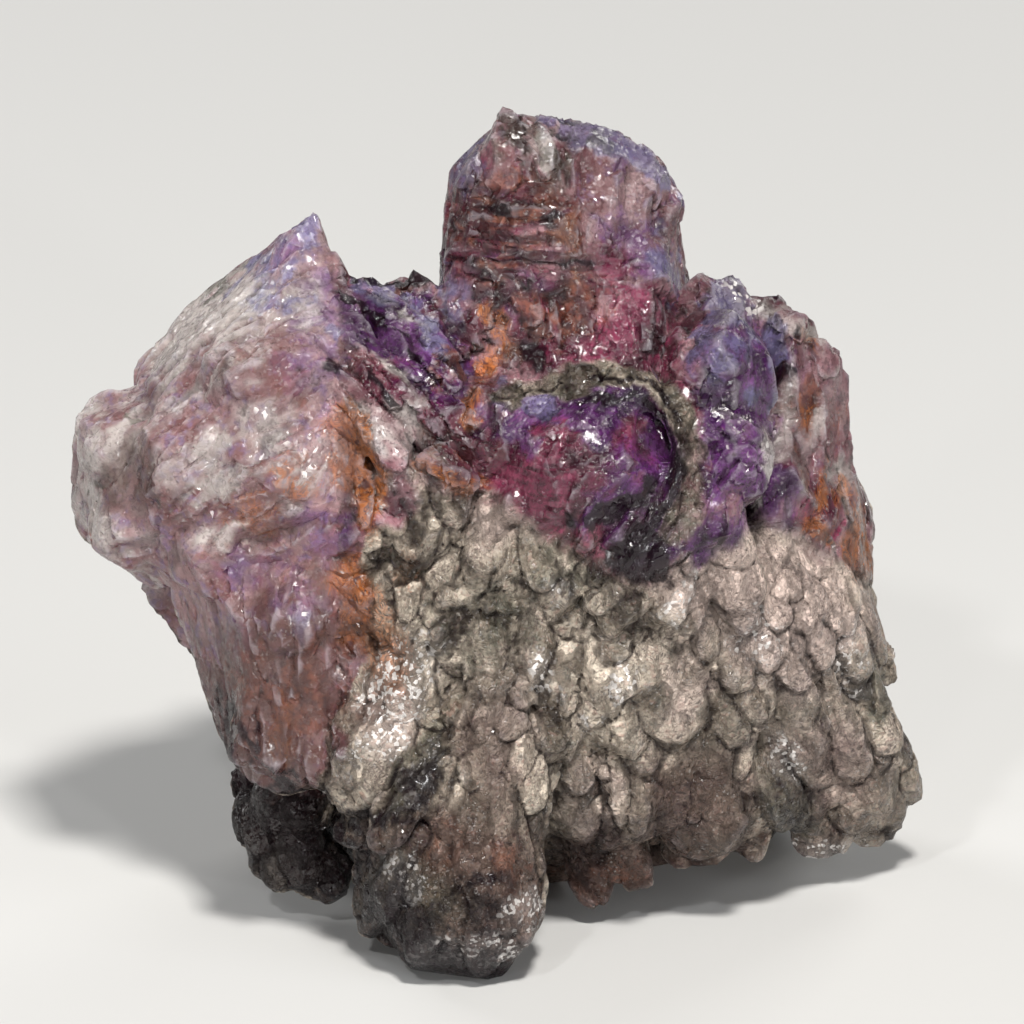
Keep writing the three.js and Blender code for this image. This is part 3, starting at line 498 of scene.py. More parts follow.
SADDLE_SHARDS = (
    Shard(-13.5, 68.4, 1.0, 4.6, 62, 1.0, 0.35),
    Shard(-9.2, 68.0, 1.1, 4.8, 60, 1.2, 0.8),
    Shard(-11.6, 65.6, 1.0, 4.4, 58, 0.9, 0.35),
    Shard(-6.6, 65.0, 1.1, 4.0, 48, 1.2, 0.75),
    Shard(-9.6, 63.0, 1.0, 4.6, 50, 0.9, 0.4),
    Shard(-5.6, 61.8, 1.0, 3.2, 44, 1.1, 0.8),
    Shard(-12.2, 60.6, 1.1, 4.0, 46, 0.9, 0.7),
    Shard(-8.0, 58.6, 1.1, 4.2, 42, 1.1, 0.5),
    Shard(-4.4, 57.6, 1.1, 3.0, 38, 1.0, 0.75),
    Shard(-1.4, 57.8, 1.1, 2.3, 0, 0.9, 0.6),
    Shard(-9.5, 70.2, 0.9, 0.9, 0, 0.5, 0.5),
    Shard(-10.4, 54.6, 1.2, 3.8, 18, 0.5, 0.7),
    Shard(-7.0, 53.6, 1.2, 3.2, 40, 0.5, 0.7),
    Shard(-5.0, 51.4, 1.0, 3.0, 68, 0.7, 0.6),
    Shard(-1.6, 50.0, 1.0, 3.0, 72, 0.6, 0.6),
    Shard(-13.0, 50.4, 0.9, 5.0, 6, 0.5, 0.6),
)

HEAD_SHARDS = (
    Shard(3.0, 50.5, 3.4, 5.0, 22, 0.3, 0.6),
    Shard(10.4, 54.6, 3.8, 3.0, 10, 0.4, 0.5),
    Shard(4.2, 58.0, 1.7, 1.3, 20, 0.7, 0.7),
    Shard(13.0, 50.4, 1.3, 3.6, -50, 0.5, 0.6),
    Shard(9.6, 50.2, 1.2, 4.0, -36, 0.4, 0.5),
    Shard(16.2, 53.4, 1.7, 2.8, 0, -0.3, 0.4),
    Shard(8.0, 46.2, 0.9, 2.2, -32, -0.4, 0.3),
    Shard(11.7, 46.4, 1.0, 2.4, -36, -0.5, 0.3),
    Shard(14.2, 42.4, 1.3, 3.2, -24, -0.5, 0.3),
    Shard(9.8, 45.4, 0.8, 3.0, -34, 0.4, 0.5),
    Shard(13.4, 46.4, 0.8, 3.6, -38, 0.5, 0.6),
    Shard(19.4, 45.6, 1.7, 5.6, -44, 0.7, 0.5),
    Shard(17.0, 48.2, 1.0, 4.0, -36, 0.4, 0.5),
)

KEEL_SHARDS = (
    Shard(22.4, 68.0, 1.9, 2.4, 0, 0.5, 0.6),
    Shard(25.0, 66.0, 1.2, 3.4, 12, 0.5, 0.5),
    Shard(22.6, 63.4, 2.0, 3.2, 12, 0.5, 0.6),
    Shard(19.2, 61.6, 2.0, 1.7, -40, 0.6, 0.5),
    Shard(26.6, 61.6, 0.9, 4.2, 8, 0.5, 0.4),
    Shard(27.2, 57.0, 1.2, 1.4, 20, 0.7, 0.7),
    Shard(23.4, 55.8, 0.9, 3.4, 70, 0.6, 0.8),
    Shard(24.2, 53.6, 0.8, 3.4, 66, 0.6, 0.8),
    Shard(22.8, 51.4, 0.9, 3.4, 72, 0.5, 0.6),
    Shard(26.8, 51.4, 1.0, 3.4, -30, 0.7, 0.5),
    Shard(23.4, 47.6, 1.2, 5.0, -42, 0.5, 0.4),
)

COLUMN_SHARDS = (
    Shard(29.6, 66.2, 1.6, 2.0, 20, 0.5, 0.7),
    Shard(32.4, 63.4, 1.5, 2.4, 30, 0.5, 0.6),
    Shard(30.6, 58.4, 1.4, 5.0, 4, 0.5, 0.6),
    Shard(33.6, 56.0, 1.3, 4.6, 10, 0.5, 0.6),
    Shard(29.6, 51.0, 1.1, 4.6, 2, 0.4, 0.5),
    Shard(32.4, 50.2, 1.4, 4.6, 8, 0.5, 0.6),
    Shard(35.6, 49.0, 1.2, 4.4, 14, 0.6, 0.6),
    Shard(37.0, 43.6, 1.2, 3.4, 12, 0.6, 0.5),
)

LEFT_SHARDS = (
    Shard(-18.4, 73.6, 1.6, 3.6, 20, 0.4, 0.5),
    Shard(-27.6, 68.0, 2.6, 5.6, -52, 0.3, 0.7),
    Shard(-22.4, 61.0, 2.0, 4.4, -66, 0.4, 0.4),
    Shard(-17.0, 65.0, 1.6, 2.4, 40, 0.4, 0.6),
    Shard(-38.4, 55.0, 3.0, 3.6, -20, 0.4, 0.6),
    Shard(-36.2, 48.0, 2.6, 3.6, 10, 0.3, 0.6),
    Shard(-20.6, 50.4, 3.4, 1.8, -20, 0.4, 0.5),
    Shard(-26.0, 54.6, 4.0, 2.4, -20, 0.3, 0.6),
    Shard(-22.4, 38.4, 1.6, 5.0, 8, 0.4, 0.5),
    Shard(-18.6, 34.6, 1.4, 5.4, 4, 0.4, 0.6),
    Shard(-25.6, 32.6, 1.6, 5.4, 12, 0.4, 0.5),
    Shard(-21.6, 25.6, 1.8, 4.6, 6, 0.5, 0.4),
    Shard(-17.6, 25.0, 1.3, 5.0, 2, 0.4, 0.6),
    Shard(-10.8, 36.4, 1.3, 5.4, 8, 0.4, 0.6),
    Shard(-13.4, 31.0, 1.1, 4.6, -4, 0.4, 0.5),
)

STEM_SHARDS = (
    Shard(-11.2, 24.8, 3.4, 8.0, -28, 0.9, 0.6),
    Shard(-8.6, 17.9, 2.1, 5.0, -38, 0.8, 0.3),
    Shard(-0.7, 17.6, 3.6, 9.0, 2, 0.3, 0.5),
    Shard(8.2, 22.6, 1.9, 3.3, 4, 1.0, 0.5),
    Shard(5.2, 25.4, 1.3, 2.1, 8, 0.8, 0.4),
    Shard(10.6, 22.6, 0.9, 2.3, 4, 0.7, 0.5),
    Shard(12.2, 20.2, 1.0, 4.0, 6, 0.7, 0.7),
    Shard(14.3, 18.4, 1.0, 2.8, 2, 0.7, 0.6),
    Shard(14.5, 23.7, 1.6, 2.6, 14, 0.6, 0.6),
    Shard(8.0, 16.6, 2.6, 2.8, 0, 0.6, 0.5),
    Shard(20.6, 18.4, 4.8, 5.4, 6, 0.6, 0.4),
    Shard(20.0, 17.6, 0.9, 1.2, 0, 0.9, 0.4),
    Shard(28.2, 19.5, 2.5, 4.7, 28, 1.0, 0.3),
    Shard(31.1, 24.0, 2.4, 4.4, 20, 0.9, 0.5),
    Shard(34.9, 25.6, 2.2, 5.6, 16, 0.9, 0.6),
    Shard(37.2, 18.4, 3.4, 3.6, 14, 0.6, 0.6),
    Shard(31.9, 15.6, 2.1, 4.0, 8, 0.7, 0.5),
    Shard(37.0, 14.2, 2.6, 1.6, 0, 0.6, 0.6),
    Shard(23.4, 26.7, 1.8, 2.8, 16, 0.8, 0.5),
    Shard(25.3, 29.0, 1.6, 2.6, 18, 0.7, 0.6),
    Shard(23.8, 31.8, 1.9, 2.3, 14, 0.7, 0.6),
    Shard(29.4, 31.8, 1.7, 2.6, 18, 0.8, 0.6),
    Shard(26.8, 34.0, 1.5, 2.6, 18, 0.7, 0.6),
    Shard(32.0, 35.2, 1.6, 3.6, 16, 0.8, 0.7),
    Shard(27.9, 38.4, 1.6, 3.0, 16, 0.6, 0.8),
    Shard(24.2, 38.6, 1.9, 3.4, 14, 0.5, 0.6),
    Shard(35.8, 35.0, 1.4, 4.6, 12, 0.8, 0.7),
    Shard(38.8, 35.8, 1.5, 4.0, 8, 0.7, 0.5),
    Shard(38.8, 30.2, 1.5, 2.6, 14, 0.7, 0.6),
    Shard(39.2, 25.6, 2.0, 2.8, 16, 0.6, 0.7),
    Shard(40.0, 18.4, 1.7, 3.2, 14, 0.6, 0.5),
    Shard(17.0, 29.6, 4.0, 5.2, 24, 0.4, 0.6),
    Shard(12.5, 30.6, 1.5, 2.1, 10, 0.8, 0.8),
    Shard(9.8, 27.8, 1.5, 1.9, 8, 0.8, 0.6),
    Shard(2.7, 29.6, 1.6, 1.9, 20, 0.6, 0.6),
    Shard(1.4, 26.4, 2.0, 1.7, 30, 0.6, 0.6),
    Shard(-0.7, 33.0, 2.7, 3.8, 6, 0.6, 0.5),
    Shard(-2.8, 32.8, 0.7, 2.1, 8, 0.9, 0.9),
    Shard(-3.2, 39.2, 1.4, 2.6, -66, 0.7, 0.7),
    Shard(3.8, 35.2, 2.3, 3.8, 8, 0.5, 0.4),
    Shard(11.0, 39.0, 1.6, 2.0, -60, 0.7, 0.5),
    Shard(11.5, 34.8, 1.9, 2.4, 6, 0.6, 0.5),
    Shard(18.1, 38.6, 1.5, 2.5, -24, 0.7, 0.9),
    Shard(15.6, 38.0, 1.5, 2.2, 4, 0.5, 0.5),
    Shard(1.6, 38.4, 1.3, 2.8, -80, 0.5, 0.5),
    Shard(7.2, 30.2, 1.0, 2.8, 4, 0.6, 0.5),
    Shard(-0.6, 44.4, 2.4, 2.6, -30, 0.5, 0.5),
    Shard(4.4, 41.6, 1.8, 2.4, 20, 0.5, 0.6),
    Shard(20.6, 36.0, 1.6, 3.4, 12, 0.5, 0.5),
    Shard(13.2, 12.6, 3.0, 2.6, 0, 0.4, 0.4),
    Shard(-6.4, 8.0, 2.4, 6.0, -12, 0.5, 0.4),
    Shard(-1.4, 6.4, 2.0, 5.4, 2, 0.6, 0.4),
    Shard(2.8, 8.6, 1.6, 5.0, 14, 0.6, 0.5),
    Shard(-10.6, 10.0, 1.8, 5.0, -24, 0.5, 0.4),
    Shard(-20.6, 14.0, 2.0, 4.6, 30, 0.5, 0.3),
    Shard(-24.4, 17.0, 1.6, 4.0, 20, 0.5, 0.3),
    Shard(-17.4, 12.0, 1.8, 3.6, 24, 0.5, 0.3),
)

CLEAR_SHARDS = CROWN_SHARDS + SADDLE_SHARDS + HEAD_SHARDS + KEEL_SHARDS + COLUMN_SHARDS + LEFT_SHARDS

# The lower edge of the glassy crystal in the view, as [across, up]. The stem's skin is below it.
SKIN_EDGE = (
    (-45.0, 20.0), (-27.0, 20.0), (-17.0, 19.5), (-14.0, 30.0), (-12.0, 44.0),
    (-7.0, 50.5), (0.0, 49.0), (4.0, 45.5), (10.0, 42.0), (15.0, 40.5),
    (20.0, 43.0), (26.0, 46.0), (31.0, 44.0), (36.0, 42.0), (45.0, 40.0),
)

# How high the skin reaches at the back, in millimetres over the ground.
BACK_SKIN_TOP = 44.0

# Where the milky crystal on the left ends, in millimetres across.
MILKY_EDGE = -15.5

# The crust that rims the violet head, as [across, up], and the middle of the head.
RIM_LINE = (
    (0.5, 58.8), (5.0, 60.0), (10.0, 60.6), (15.0, 59.8),
    (18.0, 57.0), (19.4, 53.0), (19.2, 48.6), (17.0, 45.0),
)
HEAD_MIDDLE = (9.0, 50.0)

# The blunt knob on top of the crown, as [across, up, reach].
KNOB = (0.9, 88.0, 3.4)

# Notches between the small crystals that are too deep in the plain solid, as [across, up, half width].
NOTCHES = ((25.8, 47.4, 4.0), (-12.0, 51.6, 3.0), (-15.2, 42.6, 3.0), (-5.4, 54.8, 3.0), (16.6, 53.6, 3.4))


@dataclass
class Surface:
    """The points of a mesh with what is known at each of them."""

    mesh: bpy.types.Mesh
    points: np.ndarray = field(init=False)
    normals: np.ndarray = field(init=False)
    edges: np.ndarray = field(init=False)
    corners: np.ndarray = field(init=False)
    corner_face: np.ndarray = field(init=False)

    def __post_init__(self) -> None:
        """Reads the mesh."""
        self.read()

    def read(self) -> None:
        """Reads the points, normals and edges from the mesh."""
        self.points = np.empty(len(self.mesh.vertices) * 3)
        self.mesh.vertices.foreach_get("co", self.points)
        self.points = self.points.reshape(-1, 3)
        normals = np.empty(len(self.mesh.vertices) * 3, np.float32)
        self.mesh.vertex_normals.foreach_get("vector", normals)
        self.normals = normals.reshape(-1, 3).astype(float)
        edges = np.empty(len(self.mesh.edges) * 2, np.int64)
        self.mesh.edges.foreach_get("vertices", edges)
        self.edges = edges.reshape(-1, 2)
        self.corners = np.empty(len(self.mesh.loops), np.int64)
        self.mesh.loops.foreach_get("vertex_index", self.corners)
        totals = np.empty(len(self.mesh.polygons), np.int64)
        self.mesh.polygons.foreach_get("loop_total", totals)
        self.corner_face = np.repeat(np.arange(len(totals)), totals)

    def turned(self, wanted: np.ndarray, rounds: int) -> np.ndarray:
        """Moves the points until the faces look the way that is wanted.

        Args:
            wanted: the normal wanted for each face.
            rounds: how many times to move the points.

        Returns:
            The moved points.
        """
        points = self.points.copy()
        per_face = np.bincount(self.corner_face)
        per_point = np.bincount(self.corners, minlength=len(points))
        pull = wanted[self.corner_face]
        for _ in range(rounds):
            at = points[self.corners]
            sums = np.column_stack([np.bincount(self.corner_face, column) for column in at.T])
            middle = sums / per_face[:, None]
            off = np.sum((middle[self.corner_face] - at) * pull, axis=1)[:, None] * pull
            move = np.column_stack([np.bincount(self.corners, column, len(points)) for column in off.T])
            points += move / per_point[:, None]
        return points

    def smoothed(self, values: np.ndarray, rounds: int) -> np.ndarray:
        """Averages values with their neighbours'.

        Args:
            values: one value or row of values for each point.
            rounds: how many times to average.

        Returns:
            The smoothed values, in the same shape.
        """
        flat = values.reshape(len(self.points), -1)
        a, b = self.edges[:, 0], self.edges[:, 1]
        size = len(self.points)
        share = 1.0 / np.maximum(1, np.bincount(a, minlength=size) + np.bincount(b, minlength=size))
        for _ in range(rounds):
            columns = [np.bincount(a, column[b], size) + np.bincount(b, column[a], size) for column in flat.T]
            flat = 0.4 * flat + 0.6 * np.column_stack(columns) * share[:, None]
        return flat.reshape(values.shape)

    def write(self) -> None:
        """Moves the mesh's vertices to the points."""
        self.mesh.vertices.foreach_set("co", self.points.ravel())
        self.mesh.update()

    def keep(self, name: str, values: np.ndarray) -> None:
        """Stores one value at each point under a name that the materials read."""
        attribute = self.mesh.attributes.get(name) or self.mesh.attributes.new(name, "FLOAT", "POINT")
        attribute.data.foreach_set("value", values.astype(np.float32))


def smooth_step(low: float, high: float, values: np.ndarray) -> np.ndarray:
    """Rises smoothly from 0 at low to 1 at high."""
    t = np.clip((values - low) / (high - low), 0.0, 1.0)
    return t * t * (3.0 - 2.0 * t)


def swell(points: np.ndarray, size: float, seed: float) -> np.ndarray:
    """Smooth noise from about -1 to 1.

    Args:
        points: one point a row, in metres.
        size: how wide one swell of the noise is, in millimetres.
        seed: a number that sets this noise apart from others.

    Returns:
        One value for each point.
    """
    scaled = points / (size * MM) + seed
    return np.array([noise.noise(Vector(row)) for row in scaled])


def distance_to_line(points: np.ndarray, line: tuple[tuple[float, float], ...]) -> np.ndarray:
    """How far points of the view are from a line of corners.

    Args:
        points: [across, up] rows.
        line: the line's corners.

    Returns:
        One distance for each point.
    """
    nearest = np.full(len(points), np.inf)
    for start, end in zip(np.array(line[:-1]), np.array(line[1:])):
        along = end - start
        share = np.clip((points - start) @ along / (along @ along), 0.0, 1.0)
        nearest = np.minimum(nearest, np.linalg.norm(points - start - share[:, None] * along, axis=1))
    return nearest


def outside_rim(points: np.ndarray) -> np.ndarray:
    """How far points of the view are outside the rim's line.

    Args:
        points: [across, up] rows.

    Returns:
        One distance for each point, less than 0 on the side of the head.
    """
    away = distance_to_line(points, RIM_LINE)
    nudge = 0.2
    towards = np.array(HEAD_MIDDLE) - points
    inward = points + nudge * towards / np.linalg.norm(towards, axis=1, keepdims=True)
    return np.where(distance_to_line(inward, RIM_LINE) < away, away, -away)


class Zones:
    """Where each wash lies on the cluster."""

    def __init__(self, surface: Surface) -> None:
        """Works out the washes at each point of a surface.

        Args:
            surface: the surface.
        """
        self.surface = surface
        self.seen = SIGHT.seen(surface.points)
        self.height = surface.points[:, 2] / MM
        self.slow = swell(surface.points, size=12.0, seed=21.0)
        self.middling = swell(surface.points, size=5.0, seed=33.0)
        self.quick = swell(surface.points, size=2.2, seed=7.7)
        facing = -(surface.normals @ np.array(SIGHT.look)) + 0.06 * self.middling
        self.front = smooth_step(-0.30, 0.10, facing) * smooth_step(14, 6, self.seen[:, 2])
        self.bent = self.seen[:, :2] + np.column_stack((self._bend(41.0), self._bend(57.0)))
        self.values = {wash: np.zeros(len(surface.points)) for wash in Wash}
        self._lay_skin()
        hazy = smooth_step(-12.0, -17.0, self.seen[:, 0] + 2.0 * self.middling)
        self.values[Wash.HAZE] = hazy * (1.0 - self.values[Wash.SKIN])
        self._paint_front()
        self._paint_back()
        self._lay_rim()

    def _bend(self, seed: float) -> np.ndarray:
        """How far the patches are pushed about at each point, so that none keeps an even outline."""
        points = self.surface.points
        return 1.7 * swell(points, size=4.0, seed=seed) + 0.9 * swell(points, size=1.5, seed=seed + 5.0)

    def _lay_skin(self) -> None:
        """Covers the stem with its skin."""
        across, up = self.seen[:, 0], self.seen[:, 1]
        wander = 1.6 * self.middling + 1.0 * self.quick
        edge = np.array(SKIN_EDGE)
        below_front = np.interp(across + wander, edge[:, 0], edge[:, 1]) - up
        below_back = BACK_SKIN_TOP - self.height + 4.0 * np.sin(across / 9.0) + 3.0 * self.slow
        below = self.front * below_front + (1.0 - self.front) * below_back + wander
        self.values[Wash.SKIN] = smooth_step(-2.5, 2.5, below)

    def _paint_front(self) -> None:
        """Adds the patches that the front shows."""
        for patch in PATCHES:
            self._raise(patch.wash, patch.strength(self.bent) * self.front)

    def _paint_back(self) -> None:
        """Gives the sides and the back the same washes in loose bands."""
        back = 1.0 - self.front
        glassy = 1.0 - self.values[Wash.SKIN]
        left = smooth_step(-14, -22, self.seen[:, 0])
        bands = {
            Wash.VIOLET: (1.0 - 0.7 * left) * (0.45 + 1.2 * self.slow),
            Wash.MAGENTA: (1.0 - 0.8 * left) * (0.3 - 1.2 * self.slow + 0.5 * self.middling),
            Wash.MILK_AND_HIGHLIGHT: left * (0.5 + 0.8 * self.middling),
            Wash.RUST: smooth_step(0.18, 0.5, 0.5 * self.slow - 0.8 * self.middling),
            Wash.AMBER: smooth_step(0.35, 0.6, 0.5 * self.slow - 0.9 * self.middling),
            Wash.LILAC: smooth_step(0.2, 0.5, self.middling - 0.3 * self.slow),
            Wash.SMOKE: 0.7 * smooth_step(0.35, 0.55, self.quick + 0.3 * self.middling),
        }
        for wash, amount in bands.items():
            self._raise(wash, back * glassy * np.clip(amount, 0, 1))
        # darker towards the bottom of the sides and the back
        low = smooth_step(12, 2, self.height + 6 * self.middling)
        self._raise(Wash.SMOKE, 0.5 * back * low)
        self._raise(Wash.MOSS, 0.5 * back * smooth_step(0, 0.5, self.slow))
        # glint zones on the sides and the back: smoother and coated, with painted sparkle highlights
        self._raise(Wash.GLINT, 0.65 * back * smooth_step(0.25, 0.5, self.middling))

    def _lay_rim(self) -> None:
        """Lays the banded crust round the violet head: pale, then dark, then pale, then a dark line."""
        out = outside_rim(0.45 * self.seen[:, :2] + 0.55 * self.bent) + 0.45 * self.quick
        over = smooth_step(6.5, 10.0, self.seen[:, 0])
        widening = smooth_step(2.0, 9.0, self.seen[:, 0])
        half_width = 0.5 + 0.7 * widening + 1.0 * self.middling + 0.9 * self.quick
        crust = smooth_step(half_width + 0.5, half_width - 0.3, np.abs(out)) * self.front
        top = smooth_step(54.0, 57.0, self.seen[:, 1])
        self._raise(Wash.SKIN, crust * (1.0 - 0.4 * (1.0 - top)))
        self._raise(Wash.MOSS, 0.5 * crust)
        self._raise(Wash.UMBER_AND_SHADE, 0.4 * crust)
        band = smooth_step(-0.5, -0.3, out) * smooth_step(0.35, 0.15, out) * top
        line = smooth_step(-2.3, -2.0, out) * smooth_step(-1.2, -1.5, out)
        self._raise(Wash.SMOKE, 0.9 * np.maximum(band, line) * over * self.front)

    def _raise(self, wash: Wash, amount: np.ndarray) -> None:
        """Makes a wash at least as strong as an amount at each point."""
        self.values[wash] = np.maximum(self.values[wash], amount)

    def split(self, faces: Faces, amount: float, seed: int) -> None:
        """Makes each wash stronger on some small crystals and weaker on others, so it ends at their edges.

        Args:
            faces: the small crystals.
            amount: the most by which a wash changes.
            seed: sets this choice apart from others.
        """
        rng = np.random.default_rng(seed)
        glassy = 1.0 - self.values[Wash.SKIN]
        for wash in Wash:
            if wash not in (Wash.SKIN, Wash.HAZE):
                chance = rng.random(faces.count)[faces.number]
                present = smooth_step(0.0, 0.3, self.values[wash])
                self.values[wash] += amount * glassy * present * (2.0 * chance - 1.0)

    def __getitem__(self, wash: Wash) -> np.ndarray:
        """The wash at each point."""
        return self.values[wash]

    def keep(self) -> None:
        """Stores every wash on the mesh."""
        for wash, values in self.values.items():
            self.surface.keep(wash.value, values)


@dataclass
class Placed:
    """The shards of the front laid on a surface, with what each point gets from them."""

    zones: Zones
    shards: tuple[Shard, ...]
    corner: float = 2.3
    relief: float = 0.85
    root: float = 0.1
    push: np.ndarray = field(init=False)
    cover: np.ndarray = field(init=False)
    tone: np.ndarray = field(init=False)
    across: np.ndarray = field(init=False)
    along: np.ndarray = field(init=False)
    edge: np.ndarray = field(init=False)

    def __post_init__(self) -> None:
        """Lays each shard over those before it, and sinks the hollow ones."""
        count = len(self.zones.seen)
        seen = 0.65 * self.zones.seen[:, :2] + 0.35 * self.zones.bent
        best = np.zeros(count)
        self.push, self.cover, self.edge = np.zeros(count), np.zeros(count), np.zeros(count)
        self.tone, self.across, self.along = np.full(count, 0.5), np.zeros(count), np.zeros(count)
        for shard in self.shards:
            side, along = shard.place(seen)
            power = self.corner
            share = np.clip(along / shard.long, -1.0, 1.0)
            wide = shard.wide * (0.8 + 0.25 * share)
            reach = (np.abs(side / wide) ** power + np.abs(along / shard.long) ** power) ** (1.0 / power)
            inside = smooth_step(1.1, 0.92, reach)
            top = shard.lift * (self.root + (1.0 - self.root) * smooth_step(-1.0, 0.8, share))
            rise = inside * top
            wins = (inside > 0.3) & ((rise > best) | (shard.lift < 0))
            self.push = np.where(shard.lift < 0, self.push + inside * shard.lift, self.push)
            free_end = smooth_step(-0.6, 0.4, share) * (np.abs(top) > best)
            outline = smooth_step(0.2, 0.0, np.abs(reach - 1.1)) * free_end
            self.edge = np.where(wins, 0.0, self.edge)
            self.edge = np.maximum(self.edge, outline)
            best = np.maximum(best, rise)
            self.cover = np.maximum(self.cover, inside)
            self.tone = np.where(wins, shard.tone, self.tone)
            self.across, self.along = np.where(wins, side, self.across), np.where(wins, along, self.along)
        front = self.zones.front
        self.push = (self.push + self.relief * best) * front
        self.cover, self.edge = self.cover * front, self.edge * front


class Growth:
    """Which way the crystals grow along the surface."""

    def __init__(self, surface: Surface, zones: Zones) -> None:
        """Works out the growth direction at each point, along the surface.

        Args:
            surface: the surface.
            zones: the washes on it.
        """
        across, up = zones.seen[:, 0], zones.seen[:, 1]
        count = len(surface.points)
        spread = np.clip((across - 6.0) / 24.0, -0.7, 0.7)
        way = np.column_stack((spread, np.zeros(count), np.ones(count)))
        on_saddle = smooth_step(9, 6, np.abs(across + 8)) * smooth_step(72, 69, up)
        on_head = smooth_step(62, 59, up) * smooth_step(-3, 1, across) * smooth_step(28, 26, across)
        on_milky = smooth_step(-15, -18, across)
        on_left_column = on_milky * smooth_step(44, 40, up)
        on_bands = np.clip(zones[Wash.STREAK], 0.0, 1.0) * smooth_step(60, 63, up)
        fan = np.clip((across - 8.0) / 60.0, -0.5, 0.5)
        stem = np.column_stack((fan, np.zeros(count), -np.ones(count)))
        for share, towards in (
            (on_milky, (0.75, 0.0, 0.65)),
            (on_left_column, (0.12, 0.0, -1.0)),
            (on_saddle, (0.7, -0.2, -0.7)),
            (on_head, (-0.55, 0.0, -0.8)),
            (on_bands, (1.0, 0.0, -0.12)),
            (zones[Wash.SKIN], stem),
        ):
            way = way + share[:, None] * (np.asarray(towards) - way)
        way = way - np.sum(way * surface.normals, axis=1, keepdims=True) * surface.normals
        self.along = way / np.maximum(np.linalg.norm(way, axis=1, keepdims=True), 1e-6)


def scattered(surface: Surface, spacing: np.ndarray, seed: int) -> np.ndarray:
    """Picks points that lie apart from each other.

    Args:
        surface: the surface.
        spacing: how far apart they should lie round each of its points, in millimetres.
        seed: sets this choice apart from others.

    Returns:
        The numbers of the picked points.
    """
    rng = np.random.default_rng(seed)
    wanted = int(3.0 * surface_area(surface.mesh) / MM**2 / spacing.min() ** 2)
    picked = rng.choice(len(surface.points), min(wanted, len(surface.points)), replace=False)
    tree = tree_of(surface.points[picked])
    free = np.ones(len(picked), bool)
    kept = []
    for index, point in enumerate(picked):
        if free[index]:
            kept.append(index)
            for _, near, _ in tree.find_range(surface.points[point], 0.8 * spacing[point] * MM):
                free[near] = False
    return picked[np.array(kept)]


@dataclass
class Faces:
    """The small crystals that a surface is split into, and where each point lies on its own."""

    number: np.ndarray
    count: int
    across: np.ndarray
    along: np.ndarray
    edge: np.ndarray


@dataclass(frozen=True)
class Cut:
    """Flat faces cut into the surface. Lengths are in millimetres, slopes are rise over run."""

    widest: float
    narrowest: float
    slope: float
    seed: int
    stretch: float = 1.6

    def split(
        self, surface: Surface, growth: Growth, slow: np.ndarray
    ) -> tuple[Faces, np.ndarray, np.ndarray]:
        """Splits the surface into flat faces.

        Args:
            surface: the surface.
            growth: the way that its crystals point.
            slow: smooth noise that makes the faces wider here and narrower there.

        Returns:
            The faces, and for each point the middle normal of its face and the tilt to add to it.
        """
        rng = np.random.default_rng(self.seed + 1)
        spacing = self.narrowest + (self.widest - self.narrowest) * smooth_step(-0.35, 0.35, slow)
        roots = scattered(surface, spacing, self.seed)
        tree = tree_of(surface.points[roots])
        found = np.array([[hit[1] for hit in tree.find_n(point, 6)] for point in surface.points])
        along, side = growth.along[roots], np.cross(surface.normals[roots], growth.along[roots])
        best = np.full(len(found), np.inf)
        second = best.copy()
        number = np.zeros(len(found), np.int64)
        places = np.zeros((len(found), 2))
        for near in found.T:
            offset = (surface.points - surface.points[roots[near]]) / MM
            t = np.sum(offset * along[near], axis=1)
            s = np.sum(offset * side[near], axis=1)
            unlike = 1.0 - np.sum(surface.normals * surface.normals[roots[near]], axis=1)
            far = np.sum(offset**2, axis=1) - t**2 + (t / self.stretch) ** 2
            cost = far / spacing[roots[near]] ** 2 + 6.0 * unlike
            wins = cost < best
            second = np.where(wins, best, np.minimum(second, cost))
            best = np.where(wins, cost, best)
            number = np.where(wins, near, number)
            places = np.where(wins[:, None], np.column_stack((s, t)), places)
        lean = rng.normal(0.0, self.slope, (len(roots), 2))
        tilt = lean[:, :1] * along + lean[:, 1:] * side
        edge = smooth_step(0.2, 0.0, second - best)
        faces = Faces(number, len(roots), places[:, 0], places[:, 1], edge)
        return faces, surface.normals[roots][number], tilt[number]


